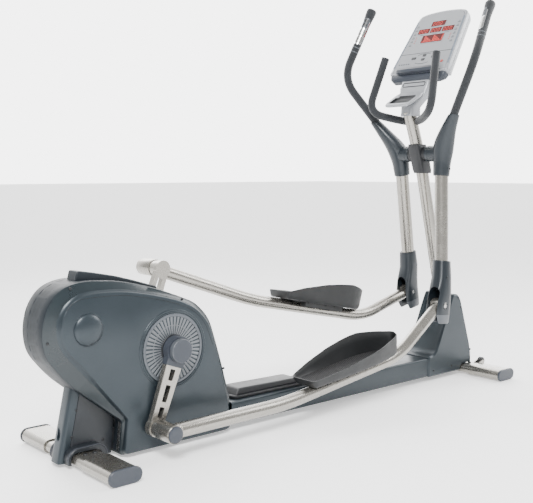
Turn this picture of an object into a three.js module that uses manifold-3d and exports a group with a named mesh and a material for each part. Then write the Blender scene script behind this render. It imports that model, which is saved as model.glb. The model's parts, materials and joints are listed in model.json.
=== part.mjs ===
// Elliptical trainer with a rear crank drive, two foot links and two swing arms.
// Millimetres, +Z up, +X toward the console, +Y the user's left when standing on the pedals.
// Every station along X is measured from the crank axis; the finished group is shifted so that
// the origin lies at the bottom centre of the bounding box.
import * as THREE from 'three';
import { mergeVertices } from 'three/addons/utils/BufferGeometryUtils.js';
import Module from 'manifold-3d';

const wasm = await Module();
wasm.setup();

const DEG = Math.PI / 180;

// ---------------------------------------------------------------- driving dimensions
const GAP = 0.4;               // clearance between two parts that touch or slide on each other

// linkage
const CRANK_RADIUS = 262;      // crank axis to crank pin
const CRANK_Z = 338;           // height of the crank axis
const CRANK_TILT = 20.5 * DEG; // right crank, rearward of straight down
const LINK_LENGTH = 1445.6;    // crank pin to lower pivot
const ROCKER_LENGTH = 651.5;   // mast pivot to lower pivot
const PIVOT_X = 1394;
const PIVOT_Z = 1007;

// base
const FOOT_SPAN = 588;         // overall width across a stabilizer's end caps
const FOOT_X_REAR = -316;
const FOOT_X_FRONT = 1661;
const FOOT_HALF_HEIGHT = 23;
const FOOT_HALF_FLAT = 33.5;   // half the distance between the stadium section's arc centres
const CAP_THICKNESS = 9;
const CAP_OVERSIZE = 2.5;      // the end caps stand this much proud of the tube, down to the floor
const BEAM_HALF_WIDTH = 75;
const BEAM_BOTTOM = 20;
const BEAM_TOP = 104;
const RAIL_HALF_WIDTH = 24;
const RAIL_BOTTOM = 52;
const RAIL_TOP = 92;
const WALL = 3.5;              // thickness of the moulded covers

// housing, half widths in Y
const BAND_HALF = 30;
const RIM_HALF = 66;
const PANEL_HALF = 88;
const FAN_RADIUS = 119;
const FAN_HOLE_GAP = 3;
const TOWER_HALF = 30;         // of the narrow tower below the housing

// crank train, stations in |Y|
const FRAME_PLATE = [40, 46];
const FAN_DISC = [PANEL_HALF - 9, PANEL_HALF + 2];
const HUB_CLAMP = [PANEL_HALF + 9.5, PANEL_HALF + 36];
const HUB_CAP_OUT = PANEL_HALF + 56;
const CRANK_ARM = [PANEL_HALF + 11, PANEL_HALF + 33];
const COLLAR_OUT = PANEL_HALF + 58;
const LINK_EYE = [PANEL_HALF + 60, PANEL_HALF + 142];
const AXLE_RADIUS = 12;
const PULLEY_RADIUS = 140;
const FLYWHEEL_RADIUS = 118;
const FLYWHEEL_X = -318;
const FLYWHEEL_Z = 440;
const FLYWHEEL_PULLEY_RADIUS = 34;

// foot links
const LINK_TUBE_RADIUS = 25;
const EYE_RADIUS = 31;
const LINK_Y_REAR = PANEL_HALF + 107;
const LINK_Y_FRONT = 165;
const LINK_BEND_1 = [500, -94]; // along the chord from the crank pin, and normal to it
const LINK_BEND_2 = [1150, -131];

// swing arms, in the arm's own frame: origin at the mast pivot, +Z up the arm
const SWING_TUBE_RADIUS = 29;
const GRIP_RADIUS = 18;
const PIN_RADIUS = 9;

// console, in its own frame: w across, u up the face, n toward the user
const CONSOLE_X = 1362;
const CONSOLE_Z = 1356;
const CONSOLE_TILT = 33.5 * DEG; // away from vertical

// ---------------------------------------------------------------- solids
function toSolid(geometry) {
  const bare = geometry.clone();
  bare.deleteAttribute('normal');
  bare.deleteAttribute('uv');
  const welded = mergeVertices(bare, 1e-4);
  return new wasm.Manifold(new wasm.Mesh({
    numProp: 3,
    vertProperties: new Float32Array(welded.attributes.position.array),
    triVerts: new Uint32Array(welded.index.array),
  }));
}

function toGeometry(solid) {
  const mesh = solid.getMesh();
  const geometry = new THREE.BufferGeometry();
  geometry.setAttribute('position', new THREE.BufferAttribute(new Float32Array(mesh.vertProperties), 3));
  geometry.setIndex(new THREE.BufferAttribute(new Uint32Array(mesh.triVerts), 1));
  return geometry;
}

const join = (first, ...others) => others.reduce((sum, other) => sum.add(other), first);
const cut = (first, ...others) => others.reduce((rest, other) => rest.subtract(other), first);
const overlap = (first, second) => first.intersect(second);

// turns a geometry's faces over when its volume comes out negative
function outward(geometry) {
  const p = geometry.attributes.position;
  const index = geometry.index ? geometry.index.array : [...Array(p.count).keys()];
  const corner = [new THREE.Vector3(), new THREE.Vector3(), new THREE.Vector3()];
  let volume = 0;
  for (let i = 0; i < index.length; i += 3) {
    corner.forEach((v, k) => v.fromBufferAttribute(p, index[i + k]));
    volume += corner[0].dot(corner[1].cross(corner[2]));
  }
  if (volume < 0) {
    const turned = Array.from(index);
    for (let i = 0; i < turned.length; i += 3) [turned[i], turned[i + 1]] = [turned[i + 1], turned[i]];
    geometry.setIndex(turned);
  }
  return geometry;
}

// the same loop of points on every level, joined by an extrusion whose vertices are moved to them
function loft(rings) {
  const count = rings[0].length;
  const outline = [];
  for (let i = 0; i < count; i++) {
    const a = (2 * Math.PI * i) / count;
    outline.push(new THREE.Vector2(Math.cos(a), Math.sin(a)));
  }
  const convex = new THREE.ExtrudeGeometry(new THREE.Shape(outline),
    { depth: rings.length - 1, steps: rings.length - 1, bevelEnabled: false });
  const p = convex.attributes.position;
  const sides = [];
  for (let i = 0; i < p.count; i += 3) {
    const levels = [0, 1, 2].map((k) => p.getZ(i + k));
    if (Math.max(...levels) - Math.min(...levels) < 0.5) continue;
    for (let k = 0; k < 3; k++) {
      const turn = Math.atan2(p.getY(i + k), p.getX(i + k)) / (2 * Math.PI);
      const at = (Math.round(turn * count) + count) % count;
      sides.push(rings[Math.round(levels[k])][at]);
    }
  }
  const lid = (ring, reverse) => {
    const normal = new THREE.Vector3();
    ring.forEach((a, i) => {
      const b = ring[(i + 1) % count];
      normal.x += (a.y - b.y) * (a.z + b.z);
      normal.y += (a.z - b.z) * (a.x + b.x);
      normal.z += (a.x - b.x) * (a.y + b.y);
    });
    const face = new THREE.Quaternion().setFromUnitVectors(normal.normalize(), new THREE.Vector3(0, 0, 1));
    const flat = ring.map((v) => {
      const t = v.clone().applyQuaternion(face);
      return new THREE.Vector2(t.x, t.y);
    });
    for (const [a, b, c] of THREE.ShapeUtils.triangulateShape(flat, [])) {
      sides.push(...(reverse ? [ring[a], ring[c], ring[b]] : [ring[a], ring[b], ring[c]]));
    }
  };
  lid(rings[0], true);
  lid(rings[rings.length - 1], false);
  return toSolid(outward(new THREE.BufferGeometry().setFromPoints(sides)));
}

// ---------------------------------------------------------------- outlines
// control points [a, b, r]; each corner is rounded over the length r on both sides
function rounded(control, steps = 2) {
  const loop = [];
  const n = control.length;
  control.forEach(([a, b, r = 1], i) => {
    const corner = new THREE.Vector2(a, b);
    const before = new THREE.Vector2(...control[(i + n - 1) % n]).sub(corner);
    const after = new THREE.Vector2(...control[(i + 1) % n]).sub(corner);
    const inTo = corner.clone().addScaledVector(before.clone().normalize(), Math.min(r, before.length() * 0.49));
    const outTo = corner.clone().addScaledVector(after.clone().normalize(), Math.min(r, after.length() * 0.49));
    const bend = new THREE.QuadraticBezierCurve(inTo, corner, outTo);
    for (let k = 0; k <= steps; k++) loop.push(bend.getPoint(k / steps));
  });
  return loop;
}

function circleLoop(a, b, radius, count = 24, radiusB = radius) {
  return Array.from({ length: count }, (_, i) => new THREE.Vector2(
    a + radius * Math.cos((2 * Math.PI * i) / count), b + radiusB * Math.sin((2 * Math.PI * i) / count)));
}

function boxLoop(a0, a1, b0, b1, r = 0, steps = 3) {
  if (r <= 0) return [[a0, b0], [a1, b0], [a1, b1], [a0, b1]].map(([a, b]) => new THREE.Vector2(a, b));
  return rounded([[a0, b0, r], [a1, b0, r], [a1, b1, r], [a0, b1, r]], steps);
}

function stadiumLoop(a, b, halfFlat, radius, count = 9) {
  const loop = [];
  for (const side of [1, -1]) {
    for (let i = 0; i < count; i++) {
      const t = (-Math.PI / 2 + (Math.PI * i) / (count - 1)) + (side < 0 ? Math.PI : 0);
      loop.push(new THREE.Vector2(a + side * halfFlat + radius * Math.cos(t), b + radius * Math.sin(t)));
    }
  }
  return loop;
}

// a counter-clockwise loop moved inward by the distance d; a corner that is tighter than d
// shrinks to a tiny rounding at the point where its two sides meet
const TINY = 0.1;
function inset(loop, d) {
  const n = loop.length;
  const at = (list, i) => list[(i + 2 * n) % n];
  const edge = (i) => at(loop, i + 1).clone().sub(at(loop, i)).normalize();
  const moved = loop.map((p, i) => {
    const t0 = edge(i - 1);
    const t = t0.clone().add(edge(i)).normalize();
    const miter = 1 / Math.max(0.5, t.dot(t0));
    return new THREE.Vector2(p.x - t.y * d * miter, p.y + t.x * d * miter);
  });
  const turned = loop.map((p, i) => at(moved, i + 1).clone().sub(at(moved, i)).dot(edge(i)) <= 0);
  for (let i = 0; i < n; i++) {
    if (!turned[i] || at(turned, i - 1)) continue;
    let last = i;
    while (at(turned, last + 1) && last < i + n) last++;
    const into = edge(i - 1);
    const out = edge(last + 1);
    const from = at(moved, i - 1);
    const apart = at(moved, last + 2).clone().sub(from);
    const meet = from.clone().addScaledVector(into, apart.cross(out) / into.cross(out));
    const start = meet.clone().addScaledVector(into, -TINY);
    const end = meet.clone().addScaledVector(out, TINY);
    const span = last + 1 - i;
    for (let k = 0; k <= span; k++) moved[(i + k + n) % n] = start.clone().lerp(end, k / span);
  }
  return moved;
}

const blend = (from, to, t) => from.map((p, i) => p.clone().lerp(to[i], t));

const onY = (loop, y) => loop.map((p) => new THREE.Vector3(p.x, y, p.y));
const onZ = (loop, z) => loop.map((p) => new THREE.Vector3(p.x, p.y, z));
const onX = (loop, x) => loop.map((p) => new THREE.Vector3(x, p.x, p.y));
const PLANES = { x: onX, y: onY, z: onZ };

// straight prism; a bevel narrows both end faces
function prism(axis, loop, lo, hi, bevel = 0) {
  const place = PLANES[axis];
  if (bevel <= 0) return loft([place(loop, lo), place(loop, hi)]);
  const small = inset(loop, bevel);
  return loft([place(small, lo), place(loop, lo + bevel), place(loop, hi - bevel), place(small, hi)]);
}

function box(x0, x1, y0, y1, z0, z1) {
  return prism('z', boxLoop(x0, x1, y0, y1), z0, z1);
}

const rodY = (x, z, radius, y0, y1, count = 20, bevel = 0) => prism('y', circleLoop(x, z, radius, count), y0, y1, bevel);

// polyline of Vector3 with its inner corners rounded over the length trim
function bentPath(points, trim) {
  const path = new THREE.CurvePath();
  let from = points[0];
  for (let i = 1; i < points.length - 1; i++) {
    const corner = points[i];
    const back = points[i - 1].clone().sub(corner);
    const on = points[i + 1].clone().sub(corner);
    const a = corner.clone().addScaledVector(back.clone().normalize(), Math.min(trim, back.length() * 0.48));
    const b = corner.clone().addScaledVector(on.clone().normalize(), Math.min(trim, on.length() * 0.48));
    path.add(new THREE.LineCurve3(from, a));
    path.add(new THREE.QuadraticBezierCurve3(a, corner, b));
    from = b;
  }
  path.add(new THREE.LineCurve3(from, points[points.length - 1]));
  return path;
}

function tube(path, section, steps) {
  const shape = new THREE.Shape(section);
  return toSolid(outward(new THREE.ExtrudeGeometry(shape, { steps, extrudePath: path, bevelEnabled: false })));
}

const V = (x, y, z) => new THREE.Vector3(x, y, z);

// the same points with the first and the last one moved outward by the length d
function stretched(points, d) {
  const on = points.map((p) => p.clone());
  const last = on.length - 1;
  on[0].addScaledVector(points[0].clone().sub(points[1]).normalize(), d);
  on[last].addScaledVector(points[last].clone().sub(points[last - 1]).normalize(), d);
  return on;
}

const roundSection = (radius, count = 12) => circleLoop(0, 0, radius, count);

// ---------------------------------------------------------------- assembly helpers
const group = new THREE.Group();
group.name = 'elliptical_trainer';

const COLORS = {
  housing: [0x6f7785, 0.38, 0.35],
  housingDark: [0x3a4650, 0.42, 0.25],
  blackCover: [0x2c3036, 0.5, 0.1],
  armCover: [0x3c4852, 0.4, 0.2],
  silver: [0xc8c5be, 0.32, 0.8],
  silverPlastic: [0xb9bcc0, 0.4, 0.3],
  consoleFace: [0xaeb2b6, 0.45, 0.2],
  cap: [0x4c5060, 0.5, 0.0],
  foam: [0x3f4247, 0.8, 0.0],
  pedal: [0x26282b, 0.65, 0.0],
  mat: [0x1b1c1e, 0.85, 0.0],
  steel: [0x9a9a98, 0.35, 0.9],
  frame: [0x33363a, 0.55, 0.5],
  belt: [0x151515, 0.8, 0.0],
  fan: [0x9ea3a8, 0.5, 0.1],
  display: [0x5a1512, 0.25, 0.0],
  key: [0x2a2c2e, 0.5, 0.0],
};

const parts = [];
function addPart(name, solid, palette) {
  parts.push({ name, geometry: toGeometry(solid), palette });
}

const mirrored = (geometry) => {
  const flipped = geometry.clone();
  flipped.applyMatrix4(new THREE.Matrix4().makeScale(1, -1, 1));
  return outward(flipped);
};

// the piece is modelled on the left (+Y) side; each side may have its own turn in the XZ plane
function addPair(stem, solid, palette, transforms = { left: null, right: null }) {
  const left = toGeometry(solid);
  for (const side of ['left', 'right']) {
    const geometry = side === 'left' ? left.clone() : mirrored(left);
    if (transforms[side]) geometry.applyMatrix4(transforms[side]);
    parts.push({ name: `${side}_${stem}`, geometry, palette });
  }
}

// turn by an angle from +X toward +Z, then move to (x, z)
function placed(angle, x, z) {
  return new THREE.Matrix4().makeTranslation(x, 0, z).multiply(new THREE.Matrix4().makeRotationY(-angle));
}

// ---------------------------------------------------------------- linkage at rest
const PINS = {
  right: { x: -CRANK_RADIUS * Math.sin(CRANK_TILT), z: CRANK_Z - CRANK_RADIUS * Math.cos(CRANK_TILT) },
  left: { x: CRANK_RADIUS * Math.sin(CRANK_TILT), z: CRANK_Z + CRANK_RADIUS * Math.cos(CRANK_TILT) },
};

// lower pivot: the lower meeting point of the rocker's circle and the link's circle
function lowerPivot(pin) {
  const dx = PIVOT_X - pin.x;
  const dz = PIVOT_Z - pin.z;
  const d = Math.hypot(dx, dz);
  const along = (LINK_LENGTH ** 2 - ROCKER_LENGTH ** 2 + d ** 2) / (2 * d);
  const off = Math.sqrt(LINK_LENGTH ** 2 - along ** 2);
  return { x: pin.x + (along * dx + off * dz) / d, z: pin.z + (along * dz - off * dx) / d };
}

const LOWER = { left: lowerPivot(PINS.left), right: lowerPivot(PINS.right) };
const armTransforms = {};
const linkTransforms = {};
for (const side of ['left', 'right']) {
  const pin = PINS[side];
  const low = LOWER[side];
  armTransforms[side] = placed(Math.atan2(low.x - PIVOT_X, PIVOT_Z - low.z), PIVOT_X, PIVOT_Z);
  linkTransforms[side] = placed(Math.atan2(low.z - pin.z, low.x - pin.x), pin.x, pin.z);
}
const crankTransforms = {
  left: placed(Math.PI / 2 - CRANK_TILT, 0, CRANK_Z),
  right: placed(-Math.PI / 2 - CRANK_TILT, 0, CRANK_Z),
};

// ---------------------------------------------------------------- housing
// outer edge of the housing and edge of the raised side panel, matching corner by corner
const HOUSING_EDGE = rounded([
  [-202, 8, 16], [262, 8, 16], [262, 108, 30], [250, 158, 30], [212, 293, 60], [168, 425, 40], [108, 483, 30],
  [40, 511, 30], [-47, 544, 40], [-180, 580, 60], [-329, 592, 50], [-405, 570, 35], [-450, 515, 35],
  [-467, 440, 35], [-456, 365, 35], [-383, 275, 50], [-190, 122, 12]]);
const PANEL_EDGE = rounded([
  [-195, 13, 20], [240, 13, 20], [240, 106, 30], [229, 152, 30], [194, 287, 60], [154, 412, 40], [98, 468, 30],
  [34, 498, 30], [-60, 525, 40], [-190, 551, 60], [-320, 553, 50], [-374, 529, 35], [-404, 490, 35],
  [-413, 440, 35], [-397, 385, 35], [-335, 318, 50], [-178, 128, 12]]);

// rings of the shell from the centre outward: flat band, sloping rim, step, raised panel
function shellRings(thickness) {
  const edge = inset(HOUSING_EDGE, thickness);
  const panel = inset(PANEL_EDGE, thickness);
  return [
    onY(edge, thickness > 0 ? BAND_HALF - 2 : BAND_HALF),
    onY(edge, RIM_HALF - thickness),
    onY(blend(edge, panel, 0.1), RIM_HALF + 2 - thickness),
    onY(blend(edge, panel, 0.82), RIM_HALF + 6 - thickness),
    onY(blend(edge, panel, 1), PANEL_HALF - 4 - thickness),
    onY(inset(panel, 4), PANEL_HALF - thickness),
  ];
}

const FAN_HOLE = FAN_RADIUS + FAN_HOLE_GAP;
const LIP_WIDTH = 12;
const LIP_HEIGHT = 2.5;
const DOME_RADIUS = 52;
const DOME_HEIGHT = 17;
const fanLip = cut(
  rodY(0, CRANK_Z, FAN_HOLE + LIP_WIDTH, PANEL_HALF - 2, PANEL_HALF + LIP_HEIGHT, 40, 1),
  rodY(0, CRANK_Z, FAN_HOLE, PANEL_HALF - 5, PANEL_HALF + 5, 40));
const dome = toSolid(new THREE.SphereGeometry(1, 16, 10)
  .scale(DOME_RADIUS, DOME_HEIGHT, DOME_RADIUS).translate(FLYWHEEL_X, PANEL_HALF - 1, FLYWHEEL_Z));
const domeCore = rodY(FLYWHEEL_X, FLYWHEEL_Z, DOME_RADIUS + 2, PANEL_HALF - DOME_HEIGHT - 3, PANEL_HALF - WALL + 0.1);
const shell = join(
  cut(loft(shellRings(0)), loft(shellRings(WALL)),
    rodY(0, CRANK_Z, FAN_HOLE, PANEL_HALF - 12, PANEL_HALF + 6, 40)),
  fanLip, cut(dome, domeCore));
addPair('housing_shell', shell, COLORS.housing);

const railSlot = (x0, x1) => box(x0, x1, -RAIL_HALF_WIDTH - GAP, RAIL_HALF_WIDTH + GAP,
  RAIL_BOTTOM - GAP, RAIL_TOP + GAP);
const bandHalf = BAND_HALF - GAP;
addPart('housing_center_band', cut(
  prism('y', HOUSING_EDGE, -bandHalf, bandHalf),
  prism('y', inset(HOUSING_EDGE, WALL), -bandHalf - 1, bandHalf + 1),
  railSlot(-230, -170), railSlot(240, 280)), COLORS.housingDark);

const SPINE_HALF = 28;
addPart('housing_spine', cut(
  prism('y', rounded([[-334, 560, 2], [-20, 520, 2], [-22, 545, 4], [-180, 594, 60], [-320, 619, 8]]),
    -SPINE_HALF, SPINE_HALF, 3),
  prism('y', inset(HOUSING_EDGE, -GAP), -SPINE_HALF - 5, SPINE_HALF + 5)), COLORS.housingDark);

// ---------------------------------------------------------------- stabilizers
const FOOT_AXIS_Z = FOOT_HALF_HEIGHT + CAP_OVERSIZE;
const footLoop = (x, grow = 0) => stadiumLoop(x, FOOT_AXIS_Z, FOOT_HALF_FLAT, FOOT_HALF_HEIGHT + grow);
const TUBE_END = FOOT_SPAN / 2 - CAP_THICKNESS;
const SADDLE_HALF = 124;       // the section is lower between these stations
const SADDLE_DROP = 5;
const WHEEL_RADIUS = 20;
const WHEEL_X = FOOT_X_FRONT + 75;
const WHEEL_Z = 46;
const WHEEL_Y = 104;
const WHEEL_HALF_WIDTH = 9;

function stabilizer(x) {
  const inner = stadiumLoop(x, FOOT_AXIS_Z, FOOT_HALF_FLAT, FOOT_HALF_HEIGHT - SADDLE_DROP);
  return join(
    prism('y', inner, -SADDLE_HALF - 2, SADDLE_HALF + 2),
    prism('y', footLoop(x), SADDLE_HALF, TUBE_END - GAP),
    prism('y', footLoop(x), -TUBE_END + GAP, -SADDLE_HALF));
}

function wheelFork(side) {
  const cheeks = [];
  for (const edge of [-1, 1]) {
    const a = side * WHEEL_Y + edge * (WHEEL_HALF_WIDTH + 1);
    const b = a + edge * 5;
    cheeks.push(prism('y', rounded([[FOOT_X_FRONT + 36, 22, 3], [WHEEL_X + 4, WHEEL_Z - 13, 8],
      [WHEEL_X + 11, WHEEL_Z + 2, 8], [WHEEL_X - 2, WHEEL_Z + 11, 8], [FOOT_X_FRONT + 28, 40, 3]]),
    Math.min(a, b), Math.max(a, b)));
  }
  return join(...cheeks);
}

addPart('rear_stabilizer', stabilizer(FOOT_X_REAR), COLORS.silver);
const wheelAxles = join(...[-1, 1].map((side) => rodY(WHEEL_X, WHEEL_Z, 5,
  side * WHEEL_Y - WHEEL_HALF_WIDTH - 4, side * WHEEL_Y + WHEEL_HALF_WIDTH + 4, 12)));
addPart('front_stabilizer', join(stabilizer(FOOT_X_FRONT), wheelFork(-1), wheelFork(1), wheelAxles), COLORS.silver);
for (const [stem, x] of [['rear', FOOT_X_REAR], ['front', FOOT_X_FRONT]]) {
  const outer = footLoop(x, CAP_OVERSIZE);
  addPair(`${stem}_foot_cap`, loft([onY(outer, TUBE_END), onY(outer, FOOT_SPAN / 2 - 3),
    onY(inset(outer, 3), FOOT_SPAN / 2)]), COLORS.cap);
}
addPair('transport_wheel', cut(
  rodY(WHEEL_X, WHEEL_Z, WHEEL_RADIUS, WHEEL_Y - WHEEL_HALF_WIDTH, WHEEL_Y + WHEEL_HALF_WIDTH, 24, 2),
  rodY(WHEEL_X, WHEEL_Z, 5 + GAP, WHEEL_Y - WHEEL_HALF_WIDTH - 1, WHEEL_Y + WHEEL_HALF_WIDTH + 1, 12)),
COLORS.blackCover);

// ---------------------------------------------------------------- rear tower under the housing
const TOWER_BOTTOM = 12;
const TOWER_TOP = 300;
const COLUMN_LEAN = 0.215;     // the column's foot stands this far back for each millimetre of height
const COLUMN_REAR = -399;      // rear face at the bottom
const COLUMN_DEPTH = 31;
const COLUMN_ROUND = 15;
const FRONT_LEAN = 0.08;
const TOWER_FRONT = -208;
const SLEEVE_HALF = 62;        // the sleeve around the foot reaches out to this half width
const housingKeepOut = (grow) => prism('y', inset(HOUSING_EDGE, -grow), -PANEL_HALF, PANEL_HALF);
const footKeepOut = (x) => prism('y', footLoop(x, GAP), -FOOT_SPAN / 2, FOOT_SPAN / 2);
const shifted = (loop, dx) => loop.map((p) => new THREE.Vector2(p.x + dx, p.y));
const columnShift = COLUMN_LEAN * (TOWER_TOP - TOWER_BOTTOM);
const frontShift = FRONT_LEAN * (TOWER_TOP - TOWER_BOTTOM);
const columnFront = COLUMN_REAR + COLUMN_DEPTH;
const columnLoop = rounded([[COLUMN_REAR, -TOWER_HALF, COLUMN_ROUND], [columnFront, -TOWER_HALF, 2],
  [columnFront, TOWER_HALF, 2], [COLUMN_REAR, TOWER_HALF, COLUMN_ROUND]], 4);
const COLUMN_SLOT_Z = [80, 146];
const COLUMN_SLOT_HALF = 9;
const SLOT_REACH = 24;         // the slot runs this far forward of the column's foot
const columnSlot = prism('x', stadiumLoop((COLUMN_SLOT_Z[0] + COLUMN_SLOT_Z[1]) / 2, 0,
  (COLUMN_SLOT_Z[1] - COLUMN_SLOT_Z[0]) / 2 - COLUMN_SLOT_HALF, COLUMN_SLOT_HALF)
  .map((p) => new THREE.Vector2(p.y, p.x)), COLUMN_REAR - 5, COLUMN_REAR + SLOT_REACH);
addPart('rear_column', cut(
  loft([onZ(columnLoop, TOWER_BOTTOM), onZ(shifted(columnLoop, columnShift), TOWER_TOP)]),
  housingKeepOut(GAP), footKeepOut(FOOT_X_REAR), columnSlot), COLORS.housing);

const panelRear = columnFront + GAP;
const towerLoop = (back, front, half) => boxLoop(back, front, -half, half, 4, 2);
const towerLevel = (wall, z, t) => onZ(towerLoop(panelRear + wall + columnShift * t,
  TOWER_FRONT - wall + frontShift * t, TOWER_HALF - wall), z);
const towerBody = loft([towerLevel(0, TOWER_BOTTOM, 0), towerLevel(0, TOWER_TOP, 1)]);
const towerRoom = loft([towerLevel(WALL, TOWER_BOTTOM - 5, 0), towerLevel(WALL, TOWER_TOP + 5, 1)]);
const SLEEVE_WALL = 14;
const sleeveLoop = stadiumLoop(FOOT_X_REAR + 4, FOOT_AXIS_Z, FOOT_HALF_FLAT, FOOT_HALF_HEIGHT + SLEEVE_WALL);
const sleeve = cut(prism('y', sleeveLoop, -SLEEVE_HALF, SLEEVE_HALF, 3),
  box(FOOT_X_REAR - 200, 0, -TOWER_HALF + 1, TOWER_HALF - 1, -50, 200),
  box(FOOT_X_REAR - 200, 0, -SLEEVE_HALF - 1, SLEEVE_HALF + 1, -50, TOWER_BOTTOM + 0.1),
  box(FOOT_X_REAR - 200, panelRear + 14, -TOWER_HALF - GAP, TOWER_HALF + GAP, -50, 200));
addPart('rear_tower_cover', cut(join(cut(towerBody, towerRoom), sleeve),
  housingKeepOut(GAP), footKeepOut(FOOT_X_REAR), railSlot(TOWER_FRONT - 10, TOWER_FRONT + 30),
  box(panelRear - 5, panelRear + 3, -TOWER_HALF - 1, TOWER_HALF + 1, 0, FOOT_AXIS_Z)),
COLORS.housingDark);

// ---------------------------------------------------------------- base frame, inside the covers
const RAIL_REAR = -335;
const RAIL_FRONT = 1668;
const BEARING_GAP = 0.5;
const framePlate = (lo, hi) => cut(
  prism('y', rounded([[-80, RAIL_TOP + 2, 4], [80, RAIL_TOP + 2, 4], [42, 345, 20], [10, 382, 20], [-305, 474, 16],
    [-345, 464, 16], [-352, 428, 16], [-320, 406, 16], [-66, 318, 30]]), lo, hi),
  rodY(0, CRANK_Z, AXLE_RADIUS + BEARING_GAP, lo - 1, hi + 1),
  rodY(FLYWHEEL_X, FLYWHEEL_Z, 8 + BEARING_GAP, lo - 1, hi + 1, 16));
addPart('base_frame', join(
  box(RAIL_REAR, RAIL_FRONT, -RAIL_HALF_WIDTH, RAIL_HALF_WIDTH, RAIL_BOTTOM, RAIL_TOP),
  box(-80, 80, -FRAME_PLATE[1], FRAME_PLATE[1], RAIL_TOP - 10, RAIL_TOP + 12),
  framePlate(FRAME_PLATE[0], FRAME_PLATE[1]), framePlate(-FRAME_PLATE[1], -FRAME_PLATE[0]),
  box(-318, -282, -18, 18, RAIL_TOP - 5, 190),
  box(1585, RAIL_FRONT, -40, 40, RAIL_TOP - 4, RAIL_TOP + 6)), COLORS.frame);

// ---------------------------------------------------------------- beam covers
const BEAM_REAR = 262 + GAP;
const BEAM_FRONT = 1377;
const beamLoop = (grow) => boxLoop(-BEAM_HALF_WIDTH - grow, BEAM_HALF_WIDTH + grow, BEAM_BOTTOM - grow,
  BEAM_TOP + grow, 9);
addPart('beam_cover', cut(prism('x', beamLoop(0), BEAM_REAR, BEAM_FRONT - GAP),
  prism('x', beamLoop(-WALL), BEAM_REAR - 5, BEAM_FRONT + 5)), COLORS.housing);

const HUMP_BOTTOM = BEAM_TOP + GAP;
addPart('beam_top_cover', join(
  prism('z', boxLoop(292, 715, -54, 54, 26), HUMP_BOTTOM, HUMP_BOTTOM + 11, 2),
  prism('y', rounded([[306, HUMP_BOTTOM + 6, 2], [664, HUMP_BOTTOM + 6, 2], [618, HUMP_BOTTOM + 30, 16],
    [322, HUMP_BOTTOM + 36, 8]]), -42, 42, 3)), COLORS.blackCover);

// ---------------------------------------------------------------- front tower, mast and hub
const MAST_HALF_X = 30;
const MAST_HALF_Y = 25;
const MAST_TOP = V(1314, 0, 1191);
const mastLine = [V(1622, 0, 111), V(1515, 0, 526), V(1411, 0, 930), V(1366, 0, 1057), MAST_TOP];
const mastSolid = (grow) => tube(new THREE.CatmullRomCurve3(stretched(mastLine, grow)),
  circleLoop(0, 0, MAST_HALF_Y + grow, 18, MAST_HALF_X + grow), 9);

const TOWER_SIDE = 82;
const FRONT_TOWER = rounded([[BEAM_FRONT, 18, 12], [1692, 18, 10], [1690, 104, 40], [1605, 352, 20],
  [1585, 374, 12], [1546, 378, 12], [1424, 116, 24], [BEAM_FRONT, 110, 12]]);
const towerRecess = rounded([[1416, 137, 6], [1460, 118, 6], [1560, 340, 6], [1500, 330, 6]]);
addPart('tower_cover', cut(
  prism('y', FRONT_TOWER, -TOWER_SIDE, TOWER_SIDE, 7),
  prism('y', inset(FRONT_TOWER, WALL + 6), -TOWER_SIDE + WALL, TOWER_SIDE - WALL),
  cut(prism('y', towerRecess, -58, 58), prism('y', inset(FRONT_TOWER, 5), -60, 60)),
  box(BEAM_FRONT - 5, BEAM_FRONT + 20, -60, 60, 34, 98),
  box(BEAM_FRONT + 20, 1640, -60, 60, 10, 40),
  footKeepOut(FOOT_X_FRONT), mastSolid(GAP)), COLORS.housing);

const BAR_RADIUS = 17;
const barHalf = [V(1345, 40, 1146), V(1243, 174, 1188), V(1318, 140, 1428)];
const barPath = bentPath([...barHalf.map((p) => V(p.x, -p.y, p.z)).reverse(), ...barHalf], 72);
const barSolid = (grow) => tube(barPath, roundSection(BAR_RADIUS + grow, 12), 34);

const pivotRod = (radius, reach) => rodY(PIVOT_X, PIVOT_Z, radius, -reach, reach);
addPart('mast', cut(mastSolid(0), pivotRod(AXLE_RADIUS + GAP, 60), barSolid(GAP)), COLORS.silver);
addPart('fixed_handlebar', barSolid(0), COLORS.foam);

const HUB_HALF = 45.6;
const hubSleeve = loft([
  [922, 1414, 34, 28], [936, 1410, 37, 30], [1034, 1377, 38, 30], [1048, 1372, 35, 28]].map(
  ([z, x, hx, hy]) => onZ(boxLoop(x - hx, x + hx, -hy, hy, 16), z)));
addPart('mast_hub_cover', cut(join(hubSleeve, rodY(PIVOT_X, PIVOT_Z, 33, -HUB_HALF, HUB_HALF, 24)),
  mastSolid(GAP), pivotRod(AXLE_RADIUS + GAP, 60)), COLORS.blackCover);
addPart('pivot_axle', pivotRod(AXLE_RADIUS, 96), COLORS.steel);

// ---------------------------------------------------------------- console, neck and tray
const FACE_UP = V(Math.sin(CONSOLE_TILT), 0, Math.cos(CONSOLE_TILT));
const FACE_OUT = V(-Math.cos(CONSOLE_TILT), 0, Math.sin(CONSOLE_TILT));
const onConsole = (loop, n) => loop.map((p) => V(CONSOLE_X, p.x, CONSOLE_Z)
  .addScaledVector(FACE_UP, p.y).addScaledVector(FACE_OUT, n));
const consolePrism = (loop, lo, hi, bevel = 0) => (bevel > 0
  ? loft([onConsole(loop, lo), onConsole(loop, hi - bevel), onConsole(inset(loop, bevel), hi)])
  : loft([onConsole(loop, lo), onConsole(loop, hi)]));

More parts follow.
